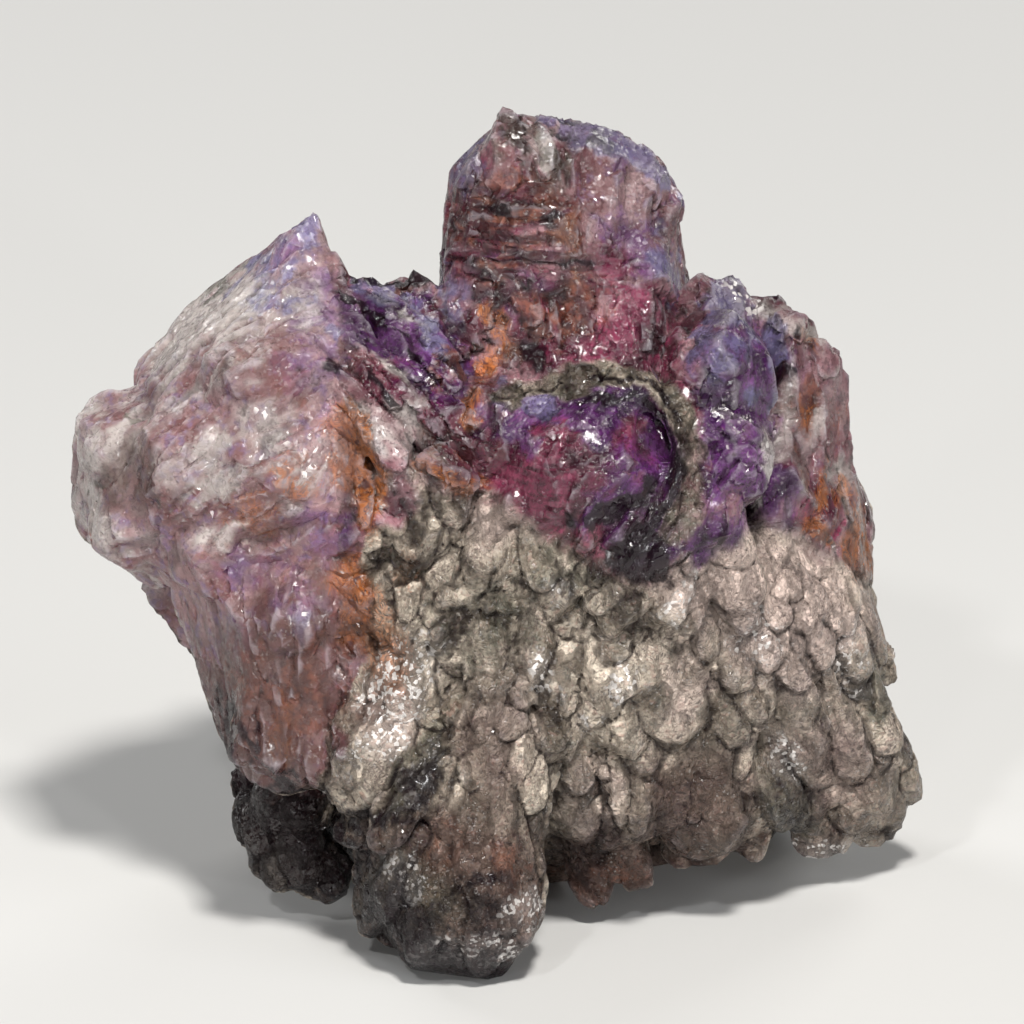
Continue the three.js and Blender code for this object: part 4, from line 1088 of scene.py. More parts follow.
@dataclass(frozen=True)
class Tongues:
    """Rounded tongues that lie over each other like scales. Lengths are in millimetres, turns in radians."""

    cell: float
    seed: int
    lift_spread: float
    turn_spread: float
    half_width: float
    half_length: float
    bulge: float
    tilt: float
    flatness: float = 3.4
    near: int = 8
    least: float = -1.0
    seam_reach: float = 0.3
    seam_depth: float = 0.35

    def laid(self, surface: Surface, growth: Growth, scale: np.ndarray) -> tuple[np.ndarray, Faces]:
        """Lays the tongues over a surface.

        Args:
            surface: the surface that they cover.
            growth: the way that the tongues point.
            scale: how much larger than usual they are at each point.

        Returns:
            The height of the tongues at each point in millimetres, with a mean of 0, and the tongues.
        """
        rng = np.random.default_rng(self.seed + 1)
        points = surface.points
        roots = scattered(surface, self.cell * scale, self.seed)
        count = len(roots)
        along = growth.along[roots]
        side = np.cross(surface.normals[roots], along)
        turn = rng.normal(0.0, self.turn_spread, count)[:, None]
        along, side = along * np.cos(turn) + side * np.sin(turn), side * np.cos(turn) - along * np.sin(turn)
        lift = self.lift_spread * rng.random(count)
        sizes = (0.7 + 0.6 * rng.random((count, 2))) * scale[roots][:, None]
        tree = tree_of(points[roots])
        found = np.array([[hit[1] for hit in tree.find_n(point, self.near)] for point in points])
        best = np.full(len(points), -np.inf)
        second = best.copy()
        number = np.zeros(len(points), np.int64)
        places = np.zeros((len(points), 2))
        for near in found.T:
            offset = (points - points[roots[near]]) / MM
            t = np.sum(offset * along[near], axis=1)
            s = np.sum(offset * side[near], axis=1)
            wide, long = self.half_width * sizes[near, 0], self.half_length * sizes[near, 1]
            reach = (s / wide) ** 2 + (np.maximum(t, 0) / long) ** 2 + 0.25 * (np.minimum(t, 0) / long) ** 2
            height = self.tilt * t / long - self.bulge * reach**self.flatness + lift[near]
            wins = height > best
            second = np.where(wins, best, np.maximum(second, height))
            best = np.where(wins, height, best)
            number = np.where(wins, near, number)
            places = np.where(wins[:, None], np.column_stack((s, t)), places)
        edge = smooth_step(self.seam_reach, 0.0, best - second)
        best = np.maximum(best, self.least) - self.seam_depth * edge
        return best - best.mean(), Faces(number, count, places[:, 0], places[:, 1], edge)


def tree_of(points: np.ndarray) -> kdtree.KDTree:
    """Makes a search tree of points.

    Args:
        points: one point a row.

    Returns:
        The tree, with the points numbered in their order.
    """
    tree = kdtree.KDTree(len(points))
    for index, point in enumerate(points):
        tree.insert(point, index)
    tree.balance()
    return tree


def surface_area(mesh: bpy.types.Mesh) -> float:
    """Adds up the area of all the faces of a mesh.

    Args:
        mesh: the mesh.

    Returns:
        The area, in square metres.
    """
    areas = np.empty(len(mesh.polygons), np.float32)
    mesh.polygons.foreach_get("area", areas)
    return float(areas.sum())


def apply_modifier(body: bpy.types.Object, kind: str, **values: object) -> None:
    """Adds a modifier to an object and keeps its result as the object's mesh.

    Args:
        body: the object.
        kind: the modifier's type.
        values: the modifier's settings.
    """
    modifier = body.modifiers.new(kind.lower(), kind)
    for name, value in values.items():
        setattr(modifier, name, value)
    graph = bpy.context.evaluated_depsgraph_get()
    graph.update()
    mesh = bpy.data.meshes.new_from_object(body.evaluated_get(graph))
    body.modifiers.clear()
    old = body.data
    body.data = mesh
    bpy.data.meshes.remove(old)


def keep_largest_part(mesh: bpy.types.Mesh) -> None:
    """Deletes the loose specks that remeshing leaves inside the solid.

    Args:
        mesh: the mesh, of which the largest connected part stays.
    """
    work = bmesh.new()
    work.from_mesh(mesh)
    unseen = set(work.verts)
    parts = []
    while unseen:
        front = {unseen.pop()}
        part = set(front)
        while front:
            front = {edge.other_vert(vert) for vert in front for edge in vert.link_edges} & unseen
            unseen -= front
            part |= front
        parts.append(part)
    parts.sort(key=len)
    bmesh.ops.delete(work, geom=[vert for part in parts[:-1] for vert in part], context="VERTS")
    work.to_mesh(mesh)
    work.free()
    LOG.info("dropped %d loose specks", len(parts) - 1)


class Hue(Enum):
    """The colours of the quartz, and of the shade and highlights painted on it, as a screen shows them, each
    part from 0 to 255.
    """

    CLEAR_DARK = (82, 28, 44)
    CLEAR_PALE = (156, 116, 122)
    CLEAR_STREAK = (90, 38, 46)
    CLOUDY_DARK = (114, 78, 78)
    CLOUDY_PALE = (148, 124, 125)
    CLOUDY_VIOLET = (120, 98, 124)
    VIOLET_DARK = (30, 1, 46)
    VIOLET_PALE = (100, 48, 116)
    VIOLET_CLOUDY = (128, 96, 148)
    WINE_DARK = (52, 0, 28)
    WINE_PALE = (134, 50, 80)
    MILK_AND_HIGHLIGHT = (178, 171, 166)
    LILAC = (104, 102, 136)
    SKIN_DARK = (110, 100, 87)
    SKIN_PALE = (190, 178, 162)
    SKIN_GREEN = (102, 104, 98)
    SKIN_BROWN = (136, 106, 96)
    BLUSH = (180, 160, 152)
    UMBER_AND_SHADE = (76, 52, 46)
    MOSS = (66, 68, 54)
    RUST_DARK = (50, 16, 10)
    RUST_PALE = (128, 74, 50)
    OCHRE_DARK = (72, 32, 10)
    OCHRE_PALE = (176, 104, 46)
    OCHRE_UMBER = (72, 38, 14)
    STREAK = (50, 14, 26)
    GLINT = (198, 190, 186)
    RIDGE_HIGHLIGHT = (190, 182, 190)
    PAINTED_SHADE = (28, 13, 15)
    CRINKLE_SHADE = (34, 20, 22)
    SPECK = (48, 30, 38)
    PAINTED_SPARKLE = (238, 232, 228)
    SMOKE = (18, 3, 12)
    CRACK = (46, 18, 14)

    @property
    def linear(self) -> tuple[float, float, float, float]:
        """The colour in the linear parts that shaders want."""
        parts = [(part / 255.0 + 0.055) / 1.055 for part in self.value]
        return (*(part**2.4 for part in parts), 1.0)


Socket = bpy.types.NodeSocket


class Graph:
    """Makes and joins shader nodes in one tree."""

    def __init__(self, tree: bpy.types.NodeTree) -> None:
        """Remembers the tree that the nodes go into."""
        self.tree = tree

    def node(self, kind: str, **settings: object) -> bpy.types.Node:
        """Adds a node.

        Args:
            kind: the node's type.
            settings: its properties.

        Returns:
            The node.
        """
        made = self.tree.nodes.new(kind)
        for name, value in settings.items():
            setattr(made, name, value)
        return made

    def feed(self, target: Socket, value: object) -> None:
        """Joins a socket to a node's input, or sets the input's own value.

        Args:
            target: the input.
            value: a socket, a hue, or a plain value.
        """
        if isinstance(value, Socket):
            self.tree.links.new(value, target)
        else:
            target.default_value = value.linear if isinstance(value, Hue) else value

    def attribute(self, name: str) -> Socket:
        """The value that the mesh keeps under a name."""
        return self.node("ShaderNodeAttribute", attribute_name=name).outputs["Fac"]

    def position(self) -> Socket:
        """The place on the object, in metres."""
        return self.node("ShaderNodeTexCoord").outputs["Object"]

    def math(self, operation: str, *values: object) -> Socket:
        """Adds one step of arithmetic.

        Args:
            operation: what it does.
            values: what it takes, in order.

        Returns:
            The result.
        """
        made = self.node("ShaderNodeMath", operation=operation)
        for socket, value in zip(made.inputs, values):
            self.feed(socket, value)
        return made.outputs[0]

    def vector(self, operation: str, *values: object) -> Socket:
        """Adds one step of vector arithmetic.

        Args:
            operation: what it does.
            values: what it takes, in order.

        Returns:
            A value for a dot product, and a vector otherwise.
        """
        made = self.node("ShaderNodeVectorMath", operation=operation)
        for socket, value in zip(made.inputs, values):
            self.feed(socket, value)
        return made.outputs["Value" if operation == "DOT_PRODUCT" else "Vector"]

    def scaled(self, where: object, factor: object) -> Socket:
        """Multiplies all parts of a place by one factor.

        Args:
            where: the place.
            factor: the factor.

        Returns:
            The scaled place.
        """
        made = self.node("ShaderNodeVectorMath", operation="SCALE")
        self.feed(made.inputs["Vector"], where)
        self.feed(made.inputs["Scale"], factor)
        return made.outputs["Vector"]

    def step(self, value: object, low: float, high: float) -> Socket:
        """Turns a value into a smooth rise.

        Args:
            value: the value.
            low: where the rise starts, at 0.
            high: where it ends, at 1. It falls where high is less than low.

        Returns:
            The rise.
        """
        made = self.node("ShaderNodeMapRange", interpolation_type="SMOOTHSTEP")
        self.feed(made.inputs["Value"], value)
        made.inputs["From Min"].default_value = low
        made.inputs["From Max"].default_value = high
        return made.outputs["Result"]

    def mix(self, share: object, first: object, second: object, blend: str = "MIX") -> Socket:
        """Mixes two colours.

        Args:
            share: how much of the second there is.
            first: the first colour.
            second: the second colour.
            blend: how the second meets the first.

        Returns:
            The mixed colour.
        """
        made = self.node("ShaderNodeMix", data_type="RGBA", blend_type=blend)
        self.feed(made.inputs[0], share)
        self.feed(made.inputs[6], first)
        self.feed(made.inputs[7], second)
        return made.outputs[2]

    def noise(self, where: object, size: float, detail: float = 3.0, rough: float = 0.6) -> Socket:
        """Adds cloudy noise.

        Args:
            where: the place.
            size: how wide its swells are, in millimetres.
            detail: how many finer swells it has.
            rough: how strong those are.

        Returns:
            A value from 0 to 1.
        """
        made = self.node("ShaderNodeTexNoise")
        self.feed(made.inputs["Vector"], where)
        made.inputs["Scale"].default_value = 1.0 / (size * MM)
        made.inputs["Detail"].default_value = detail
        made.inputs["Roughness"].default_value = rough
        return made.outputs["Fac"]

    def use(self, group: "ShaderGroup", **values: object) -> bpy.types.Node:
        """Places a group.

        Args:
            group: the group.
            values: what its inputs get.

        Returns:
            The group's node.
        """
        made = self.node("ShaderNodeGroup", node_tree=group.tree)
        for name, value in values.items():
            self.feed(made.inputs[name.replace("_", " ")], value)
        return made


class ShaderGroup:
    """A node group with named inputs and outputs, built once and used by several materials."""

    def __init__(self, name: str, inputs: dict[str, tuple[str, object]], outputs: dict[str, str]) -> None:
        """Makes the group's sockets.

        Args:
            name: the group's name.
            inputs: for each input, its socket kind and its usual value.
            outputs: for each output, its socket kind.
        """
        self.tree = bpy.data.node_groups.new(name, "ShaderNodeTree")
        for label, (kind, value) in inputs.items():
            socket = self.tree.interface.new_socket(label, in_out="INPUT", socket_type=kind)
            if value is not None:
                socket.default_value = value
        for label, kind in outputs.items():
            self.tree.interface.new_socket(label, in_out="OUTPUT", socket_type=kind)
        self.graph = Graph(self.tree)
        self.entry = self.graph.node("NodeGroupInput").outputs
        self.exit = self.graph.node("NodeGroupOutput").inputs


class Effects:
    """The shader groups that the finishes share."""

    crack_level: float = 0.47
    crack_width: float = 0.009
    groove_scale: float = 2.6

    def __init__(self) -> None:
        """Builds each group once."""
        self.facets = self._facets()
        self.broken = self._broken_edge()
        self.cracks = self._cracks()
        self.grit = self._grit()
        self.grooves = self._grooves()
        self.tints = self._tints()

    def _facets(self) -> ShaderGroup:
        """Builds tiny flat faces, each tilted its own way, so that they flash one by one.

        Returns:
            The group, which puts out their height and a chance value for each.
        """
        group = ShaderGroup(
            "tiny_facets",
            {"Position": ("NodeSocketVector", None), "Size": ("NodeSocketFloat", 0.0005)},
            {"Height": "NodeSocketFloat", "Chance": "NodeSocketFloat"},
        )
        g = group.graph
        scaled = g.scaled(group.entry["Position"], g.math("DIVIDE", 1.0, group.entry["Size"]))
        cells = g.node("ShaderNodeTexVoronoi")
        cells.inputs["Scale"].default_value = 1.0
        g.feed(cells.inputs["Vector"], scaled)
        offset = g.vector("SUBTRACT", scaled, cells.outputs["Position"])
        lean = g.vector("SUBTRACT", cells.outputs["Color"], (0.5, 0.5, 0.5))
        g.feed(group.exit["Height"], g.math("ADD", g.vector("DOT_PRODUCT", offset, lean), 0.5))
        chance = g.node("ShaderNodeSeparateColor")
        g.feed(chance.inputs[0], cells.outputs["Color"])
        g.feed(group.exit["Chance"], chance.outputs[1])
        return group

    def _broken_edge(self) -> ShaderGroup:
        """Builds a mask whose soft edge is broken up by noise.

        Returns:
            The group, which puts out the mask.
        """
        group = ShaderGroup(
            "broken_edge",
            {
                "Mask": ("NodeSocketFloat", 0.0),
                "Noise": ("NodeSocketFloat", 0.5),
                "Spread": ("NodeSocketFloat", 0.8),
                "Softness": ("NodeSocketFloat", 0.2),
            },
            {"Mask": "NodeSocketFloat"},
        )
        g = group.graph
        push = g.math("MULTIPLY", g.math("SUBTRACT", group.entry["Noise"], 0.5), group.entry["Spread"])
        made = g.node("ShaderNodeMapRange", interpolation_type="SMOOTHSTEP")
        g.feed(made.inputs["Value"], g.math("ADD", group.entry["Mask"], push))
        g.feed(made.inputs["From Min"], g.math("SUBTRACT", 0.5, group.entry["Softness"]))
        g.feed(made.inputs["From Max"], g.math("ADD", 0.5, group.entry["Softness"]))
        g.feed(group.exit["Mask"], made.outputs["Result"])
        return group

    def _cracks(self) -> ShaderGroup:
        """Builds thin healed cracks that follow one level of a broad noise, and break off by a finer one.

        Returns:
            The group, which puts out their mask.
        """
        sockets = {"Broad": ("NodeSocketFloat", 0.5), "Fine": ("NodeSocketFloat", 0.5)}
        group = ShaderGroup("cracks", sockets, {"Mask": "NodeSocketFloat"})
        g = group.graph
        off_level = g.math("ABSOLUTE", g.math("SUBTRACT", group.entry["Broad"], self.crack_level))
        some = g.step(group.entry["Fine"], 0.44, 0.52)
        g.feed(group.exit["Mask"], g.math("MULTIPLY", g.step(off_level, self.crack_width, 0.0), some))
        return group

    def _grit(self) -> ShaderGroup:
        """Builds fine grains, dark specks in clumps, and painted sparkle highlights: pale specks between the
        clumps, and larger sparkles, from the chances of the tiny faces.

        Returns:
            The group, which puts out a value for the grains and a mask for each of the others.
        """
        group = ShaderGroup(
            "grit",
            {
                "Coarse": ("NodeSocketFloat", 0.5),
                "Tiny": ("NodeSocketFloat", 0.5),
                "Clumps": ("NodeSocketFloat", 0.5),
            },
            {label: "NodeSocketFloat" for label in ("Grain", "Dark", "Pale", "Sparkle")},
        )
        g = group.graph
        coarse, tiny = group.entry["Coarse"], group.entry["Tiny"]
        g.feed(group.exit["Grain"], g.math("MULTIPLY", g.math("ADD", coarse, tiny), 0.5))
        clumps = g.step(group.entry["Clumps"], 0.42, 0.62)
        g.feed(group.exit["Dark"], g.math("MULTIPLY", clumps, g.step(tiny, 0.74, 0.78)))
        between = g.step(group.entry["Clumps"], 0.54, 0.4)
        g.feed(group.exit["Pale"], g.math("MULTIPLY", between, g.step(tiny, 0.07, 0.04)))
        g.feed(group.exit["Sparkle"], g.step(coarse, 0.21, 0.18))
        return group

    def _grooves(self) -> ShaderGroup:
        """Builds fine grooves that run along each small crystal, and across each tongue of the skin.

        Returns:
            The group, which puts out their height.
        """
        group = ShaderGroup("grooves", {}, {"Height": "NodeSocketFloat"})
        g = group.graph
        where = g.node("ShaderNodeCombineXYZ")
        skin = g.attribute(Wash.SKIN.value)
        narrow = g.math("MULTIPLY_ADD", skin, -0.6, 1.0)
        g.feed(where.inputs[0], g.math("MULTIPLY", g.attribute("across"), narrow))
        stretched = g.math("MULTIPLY_ADD", skin, 0.5, 0.16)
        g.feed(where.inputs[1], g.math("MULTIPLY", g.attribute("along"), stretched))
        g.feed(where.inputs[2], g.math("MULTIPLY", g.attribute("tone"), 40.0))
        lines = g.node("ShaderNodeTexNoise")
        g.feed(lines.inputs["Vector"], where.outputs[0])
        lines.inputs["Scale"].default_value = self.groove_scale
        lines.inputs["Detail"].default_value = 1.0
        lines.inputs["Roughness"].default_value = 0.7
        g.feed(group.exit["Height"], lines.outputs["Fac"])
        return group

    def _tints(self) -> ShaderGroup:
        """Builds the colour of the quartz under all its washes, with painted shade in its hollows, creases,
        seams and grooves, and painted highlights on its ridges and glints.

        Returns:
            The group, which puts out the colour, and masks of the stains, the glints and the polish.
        """
        group = ShaderGroup(
            "quartz_tints",
            {
                "Position": ("NodeSocketVector", None),
                "Groove": ("NodeSocketFloat", 0.5),
                "Coarse": ("NodeSocketFloat", 0.5),
                "Tiny": ("NodeSocketFloat", 0.5),
            },
            {
                "Color": "NodeSocketColor",
                "Stain": "NodeSocketFloat",
                "Glint": "NodeSocketFloat",
                "Polish": "NodeSocketFloat",
            },
        )
        g = group.graph
        where = group.entry["Position"]
        groove = group.entry["Groove"]
        broad = g.noise(where, 5.0, 2.0, 0.65)
        fine = g.noise(where, 1.5, 2.0, 0.7)
        streaks = g.math("ADD", g.math("MULTIPLY", groove, 0.6), g.math("MULTIPLY", fine, 0.4))
        tone = g.attribute("tone")
        crease = g.attribute("crease")
        grit = g.use(self.grit, Coarse=group.entry["Coarse"], Tiny=group.entry["Tiny"], Clumps=broad)
        layers = g.noise(g.vector("MULTIPLY", where, (0.22, 0.22, 1.5)), 1.3, 1.0, 0.6)
        layered = g.math("MINIMUM", g.attribute(Wash.STREAK.value), 1.0)
        streaks = g.math("MULTIPLY_ADD", layered, g.math("SUBTRACT", layers, streaks), streaks)

        def wash(kind: Wash, push: object, spread: float, softness: float) -> Socket:
            """Breaks up the edge of one wash.

            Args:
                kind: the wash.
                push: the noise that breaks it up.
                spread: how far the edge is pushed.
                softness: how soft it stays.

            Returns:
                The wash as a mask.
            """
            values = {"Mask": g.attribute(kind.value), "Noise": push, "Spread": spread, "Softness": softness}
            return g.use(self.broken, **values).outputs["Mask"]

        violet = wash(Wash.VIOLET, streaks, 1.2, 0.4)
        magenta = wash(Wash.MAGENTA, streaks, 1.2, 0.4)
        lilac = wash(Wash.LILAC, fine, 1.2, 0.3)
        milk_and_highlight = wash(Wash.MILK_AND_HIGHLIGHT, broad, 1.2, 0.4)
        rust = wash(Wash.RUST, streaks, 1.5, 0.35)
        amber = wash(Wash.AMBER, streaks, 1.6, 0.35)
        umber_and_shade = wash(Wash.UMBER_AND_SHADE, broad, 1.0, 0.45)
        smoke_and_shade = wash(Wash.SMOKE, fine, 1.3, 0.3)
        moss = wash(Wash.MOSS, fine, 1.4, 0.35)
        skin = wash(Wash.SKIN, fine, 0.9, 0.4)
        blush = wash(Wash.BLUSH, broad, 1.2, 0.45)
        streak = g.math("MULTIPLY", wash(Wash.STREAK, broad, 1.2, 0.4), g.step(layers, 0.5, 0.6))
        glint = wash(Wash.GLINT, fine, 1.2, 0.3)

        # the clear and the cloudy crystal
        haze = g.attribute(Wash.HAZE.value)
        shallow = g.math("MULTIPLY_ADD", haze, -0.5, 0.7)
        pale = g.mix(g.step(broad, 0.35, 0.65), Hue.CLEAR_DARK, Hue.CLEAR_PALE)
        cloudy = g.mix(g.step(broad, 0.3, 0.7), Hue.CLOUDY_DARK, Hue.CLOUDY_PALE)
        cloudy = g.mix(g.step(fine, 0.5, 0.7), cloudy, Hue.CLOUDY_VIOLET)
        pale = g.mix(haze, pale, cloudy)
        pale = g.mix(g.math("MULTIPLY", g.step(streaks, 0.5, 0.7), shallow), pale, Hue.CLEAR_STREAK)
        blend = g.math("ADD", g.math("MULTIPLY", broad, 0.5), g.math("MULTIPLY", streaks, 0.5))
        shade = g.step(blend, 0.38, 0.62)
        deep = g.mix(shade, Hue.VIOLET_DARK, Hue.VIOLET_PALE)
        deep = g.mix(g.math("MULTIPLY", haze, 0.6), deep, Hue.VIOLET_CLOUDY)
        wine = g.mix(shade, Hue.WINE_DARK, Hue.WINE_PALE)
        body = g.mix(g.math("MULTIPLY", magenta, 0.95), pale, wine)
        body = g.mix(g.math("MULTIPLY", violet, g.math("MULTIPLY_ADD", haze, -0.35, 0.9)), body, deep)
        body = g.mix(g.math("MULTIPLY", milk_and_highlight, 0.8), body, Hue.MILK_AND_HIGHLIGHT)
        body = g.mix(g.math("MULTIPLY", lilac, 0.75), body, Hue.LILAC)
        # the skin of the stem
        mottle = g.math("ADD", g.math("MULTIPLY", broad, 0.6), g.math("MULTIPLY", tone, 0.4))
        crust = g.mix(g.step(mottle, 0.3, 0.7), Hue.SKIN_DARK, Hue.SKIN_PALE)
        crust = g.mix(g.math("MULTIPLY", g.step(fine, 0.5, 0.7), 0.45), crust, Hue.SKIN_GREEN)
        crust = g.mix(g.math("MULTIPLY", g.step(groove, 0.5, 0.7), 0.5), crust, Hue.SKIN_BROWN)
        crust = g.mix(g.math("MULTIPLY", blush, 0.8), crust, Hue.BLUSH)
        body = g.mix(skin, body, crust)
        # the stains
        body = g.mix(g.math("MULTIPLY", umber_and_shade, 0.8), body, Hue.UMBER_AND_SHADE)
        body = g.mix(g.math("MULTIPLY", moss, 0.6), body, Hue.MOSS)
        brown = g.mix(g.step(fine, 0.35, 0.65), Hue.RUST_DARK, Hue.RUST_PALE)
        less = g.math("MULTIPLY_ADD", haze, -0.3, g.math("MULTIPLY_ADD", skin, -0.35, 0.82))
        body = g.mix(g.math("MULTIPLY", rust, less), body, brown)
        ochre = g.mix(g.step(groove, 0.35, 0.6), Hue.OCHRE_DARK, Hue.OCHRE_PALE)
        ochre = g.mix(g.math("MULTIPLY", umber_and_shade, 0.7), ochre, Hue.OCHRE_UMBER)
        body = g.mix(g.math("MULTIPLY", amber, less), body, ochre)
        body = g.mix(g.math("MULTIPLY", streak, 0.85), body, Hue.STREAK)
        # how light each small crystal and each grain is
        contrast = g.math("MULTIPLY_ADD", haze, -1.1, g.math("MULTIPLY_ADD", skin, -0.6, 2.1))
        level = g.math("MULTIPLY_ADD", g.math("SUBTRACT", tone, 0.5), contrast, 1.0)
        spread = g.math("MULTIPLY_ADD", skin, 0.5, 0.22)
        deviation = g.math("MULTIPLY", g.math("SUBTRACT", grit.outputs["Grain"], 0.5), spread)
        level = g.math("MULTIPLY", level, g.math("ADD", deviation, 0.98))
        body = g.mix(1.0, body, level, "MULTIPLY")
        # painted highlight: the glint zones are lightened towards the glint colour
        body = g.mix(g.math("MULTIPLY", glint, 0.14), body, Hue.GLINT)
        # painted highlight: ridges that stand out of the creases are lightened
        ridge_highlight = g.math("MULTIPLY", g.step(crease, -0.25, -0.9), g.math("MULTIPLY_ADD", skin, -0.2, 0.3))
        body = g.mix(ridge_highlight, body, Hue.RIDGE_HIGHLIGHT)
        # painted shade: darker in the hollows, in the creases, beside the seams where one crystal overlaps
        # the next, and in the grooves
        hollow = g.math("MULTIPLY", g.step(g.attribute("hollow"), 0.05, 0.7), 0.65)
        crease_shade = g.math("MULTIPLY", g.step(crease, 0.1, 0.65), 0.8)
        edge = g.math("MULTIPLY", g.attribute("edge"), g.step(fine, 0.36, 0.54))
        strong = g.math("MULTIPLY_ADD", haze, -0.4, g.math("MULTIPLY_ADD", skin, 0.25, 0.7))
        strong = g.math("MULTIPLY", strong, g.math("MULTIPLY_ADD", amber, -0.7, 1.0))
        sunk_shade = g.math("MULTIPLY", g.math("MAXIMUM", hollow, crease_shade), strong)
        # the seams' outlines darken as painted shadow beside the crystal that overlaps them
        dark = g.math("MAXIMUM", sunk_shade, g.math("MULTIPLY", edge, g.math("MULTIPLY_ADD", haze, -0.45, 0.75)))
        body = g.mix(dark, body, Hue.PAINTED_SHADE)
        # painted shade in the bottoms of the fine grooves
        crinkle_shade = g.math("MULTIPLY_ADD", haze, -0.08, g.math("MULTIPLY_ADD", skin, 0.45, 0.1))
        crinkle_shade = g.math("MULTIPLY", g.step(groove, 0.44, 0.3), crinkle_shade)
        body = g.mix(crinkle_shade, body, Hue.CRINKLE_SHADE)
        # the dark specks, the painted sparkle highlights, the smoke and painted shade, and the cracks
        specks = g.math("MULTIPLY", grit.outputs["Dark"], g.math("MULTIPLY_ADD", haze, -0.15, 0.5))
        body = g.mix(specks, body, Hue.SPECK)
        pale_sparkle_share = g.math("MULTIPLY_ADD", haze, -0.1, g.math("MULTIPLY_ADD", glint, 0.6, 0.2))
        pale_sparkles = g.math("MULTIPLY", grit.outputs["Pale"], pale_sparkle_share)
        painted_sparkles = g.math("MULTIPLY", grit.outputs["Sparkle"], g.math("MULTIPLY", glint, 0.85))
        # painted highlight: pale sparkles and larger sparkles in near-white
        body = g.mix(g.math("MAXIMUM", pale_sparkles, painted_sparkles), body, Hue.PAINTED_SPARKLE)
        body = g.mix(g.math("MULTIPLY", smoke_and_shade, 0.92), body, Hue.SMOKE)
        bare = g.math("MULTIPLY_ADD", haze, -0.35, g.math("MULTIPLY_ADD", skin, -0.65, 0.65))
        cracks = g.math("MULTIPLY", g.use(self.cracks, Broad=broad, Fine=fine).outputs["Mask"], bare)
        body = g.mix(cracks, body, Hue.CRACK)
        g.feed(group.exit["Color"], body)
        g.feed(group.exit["Stain"], g.math("MAXIMUM", rust, amber))
        g.feed(group.exit["Glint"], glint)
        g.feed(group.exit["Polish"], g.math("MAXIMUM", glint, g.math("MULTIPLY", smoke_and_shade, 1.1)))
        return group


@dataclass(frozen=True)
class Quartz:
    """One finish of quartz. Lengths are in metres."""

    name: str
    clear: float = 0.0
    glow: float = 0.0
    gloss: float = 0.32
    coat: float = 0.0
    rough: float = 0.2
    matt: float = 0.4
    facet: float = 0.5 * MM
    facet_strength: float = 0.4
    groove_depth: float = 0.4
    tinge: tuple[float, float, float, float] = (0.55, 0.2, 0.6, 1.0)
    tinge_density: float = 0.0
    ior: float = 1.544
    coat_rough: float = 0.12
    glint_coat: float = 0.4
    polish: float = 0.28
    stain_rough: float = 0.12
    glow_depth: float = 3.0 * MM
    glow_spread: tuple[float, float, float] = (1.0, 0.7, 0.9)

    def material(self, effects: Effects) -> bpy.types.Material:
        """Builds the material.

        Args:
            effects: the shader groups that the finishes share.

        Returns:
            The material.
        """
        made = bpy.data.materials.new(self.name)
        made.use_nodes = True
        made.node_tree.nodes.clear()
        g = Graph(made.node_tree)
        where = g.position()
        groove = g.use(effects.grooves).outputs["Height"]
        coarse = g.use(effects.facets, Position=where, Size=self.facet).outputs
        tiny = g.use(effects.facets, Position=where, Size=0.45 * self.facet).outputs
        chances = {"Coarse": coarse["Chance"], "Tiny": tiny["Chance"]}
        tints = g.use(effects.tints, Position=where, Groove=groove, **chances).outputs
        matt = g.math("MULTIPLY_ADD", tints["Polish"], -self.polish, self.matt)
        rough = g.math("MULTIPLY_ADD", g.math("POWER", coarse["Chance"], 1.2), matt, self.rough)
        rough = g.math("MULTIPLY_ADD", tints["Stain"], self.stain_rough, rough)
        bump = g.node("ShaderNodeBump")
        bump.inputs["Strength"].default_value = self.facet_strength
        bump.inputs["Distance"].default_value = self.facet
        g.feed(bump.inputs["Height"], g.math("MULTIPLY_ADD", groove, self.groove_depth, coarse["Height"]))
        shader = g.node("ShaderNodeBsdfPrincipled", subsurface_method="BURLEY")
        g.feed(shader.inputs["Base Color"], tints["Color"])
        g.feed(shader.inputs["Roughness"], rough)
        g.feed(shader.inputs["Normal"], bump.outputs[0])
        coat = g.math("MULTIPLY_ADD", tints["Glint"], self.glint_coat, self.coat)
        g.feed(shader.inputs["Coat Weight"], coat)
        shader.inputs["Coat Roughness"].default_value = self.coat_rough
        shader.inputs["IOR"].default_value = self.ior
        shader.inputs["Specular IOR Level"].default_value = self.gloss
        shader.inputs["Transmission Weight"].default_value = self.clear
        shader.inputs["Subsurface Weight"].default_value = self.glow
        shader.inputs["Subsurface Scale"].default_value = self.glow_depth
        shader.inputs["Subsurface Radius"].default_value = self.glow_spread
        out = g.node("ShaderNodeOutputMaterial")
        g.feed(out.inputs["Surface"], shader.outputs[0])
        if self.tinge_density:
            inside = g.node("ShaderNodeVolumeAbsorption")
            inside.inputs["Color"].default_value = self.tinge
            inside.inputs["Density"].default_value = self.tinge_density
            g.feed(out.inputs["Volume"], inside.outputs[0])
        return made


# The places of the finishes in their list.
GLASS, MILKY_QUARTZ, SPARKLING_SKIN = range(3)
FINISHES = (
    Quartz("amethyst_glass", clear=0.26, coat=0.16, rough=0.10, matt=0.35, tinge_density=45.0),
    Quartz("milky_quartz", glow=0.4, coat=0.16, rough=0.10, facet_strength=0.35),
    Quartz("sparkling_skin", rough=0.14, matt=0.5, facet=0.4 * MM, facet_strength=0.9, groove_depth=0.9),
)


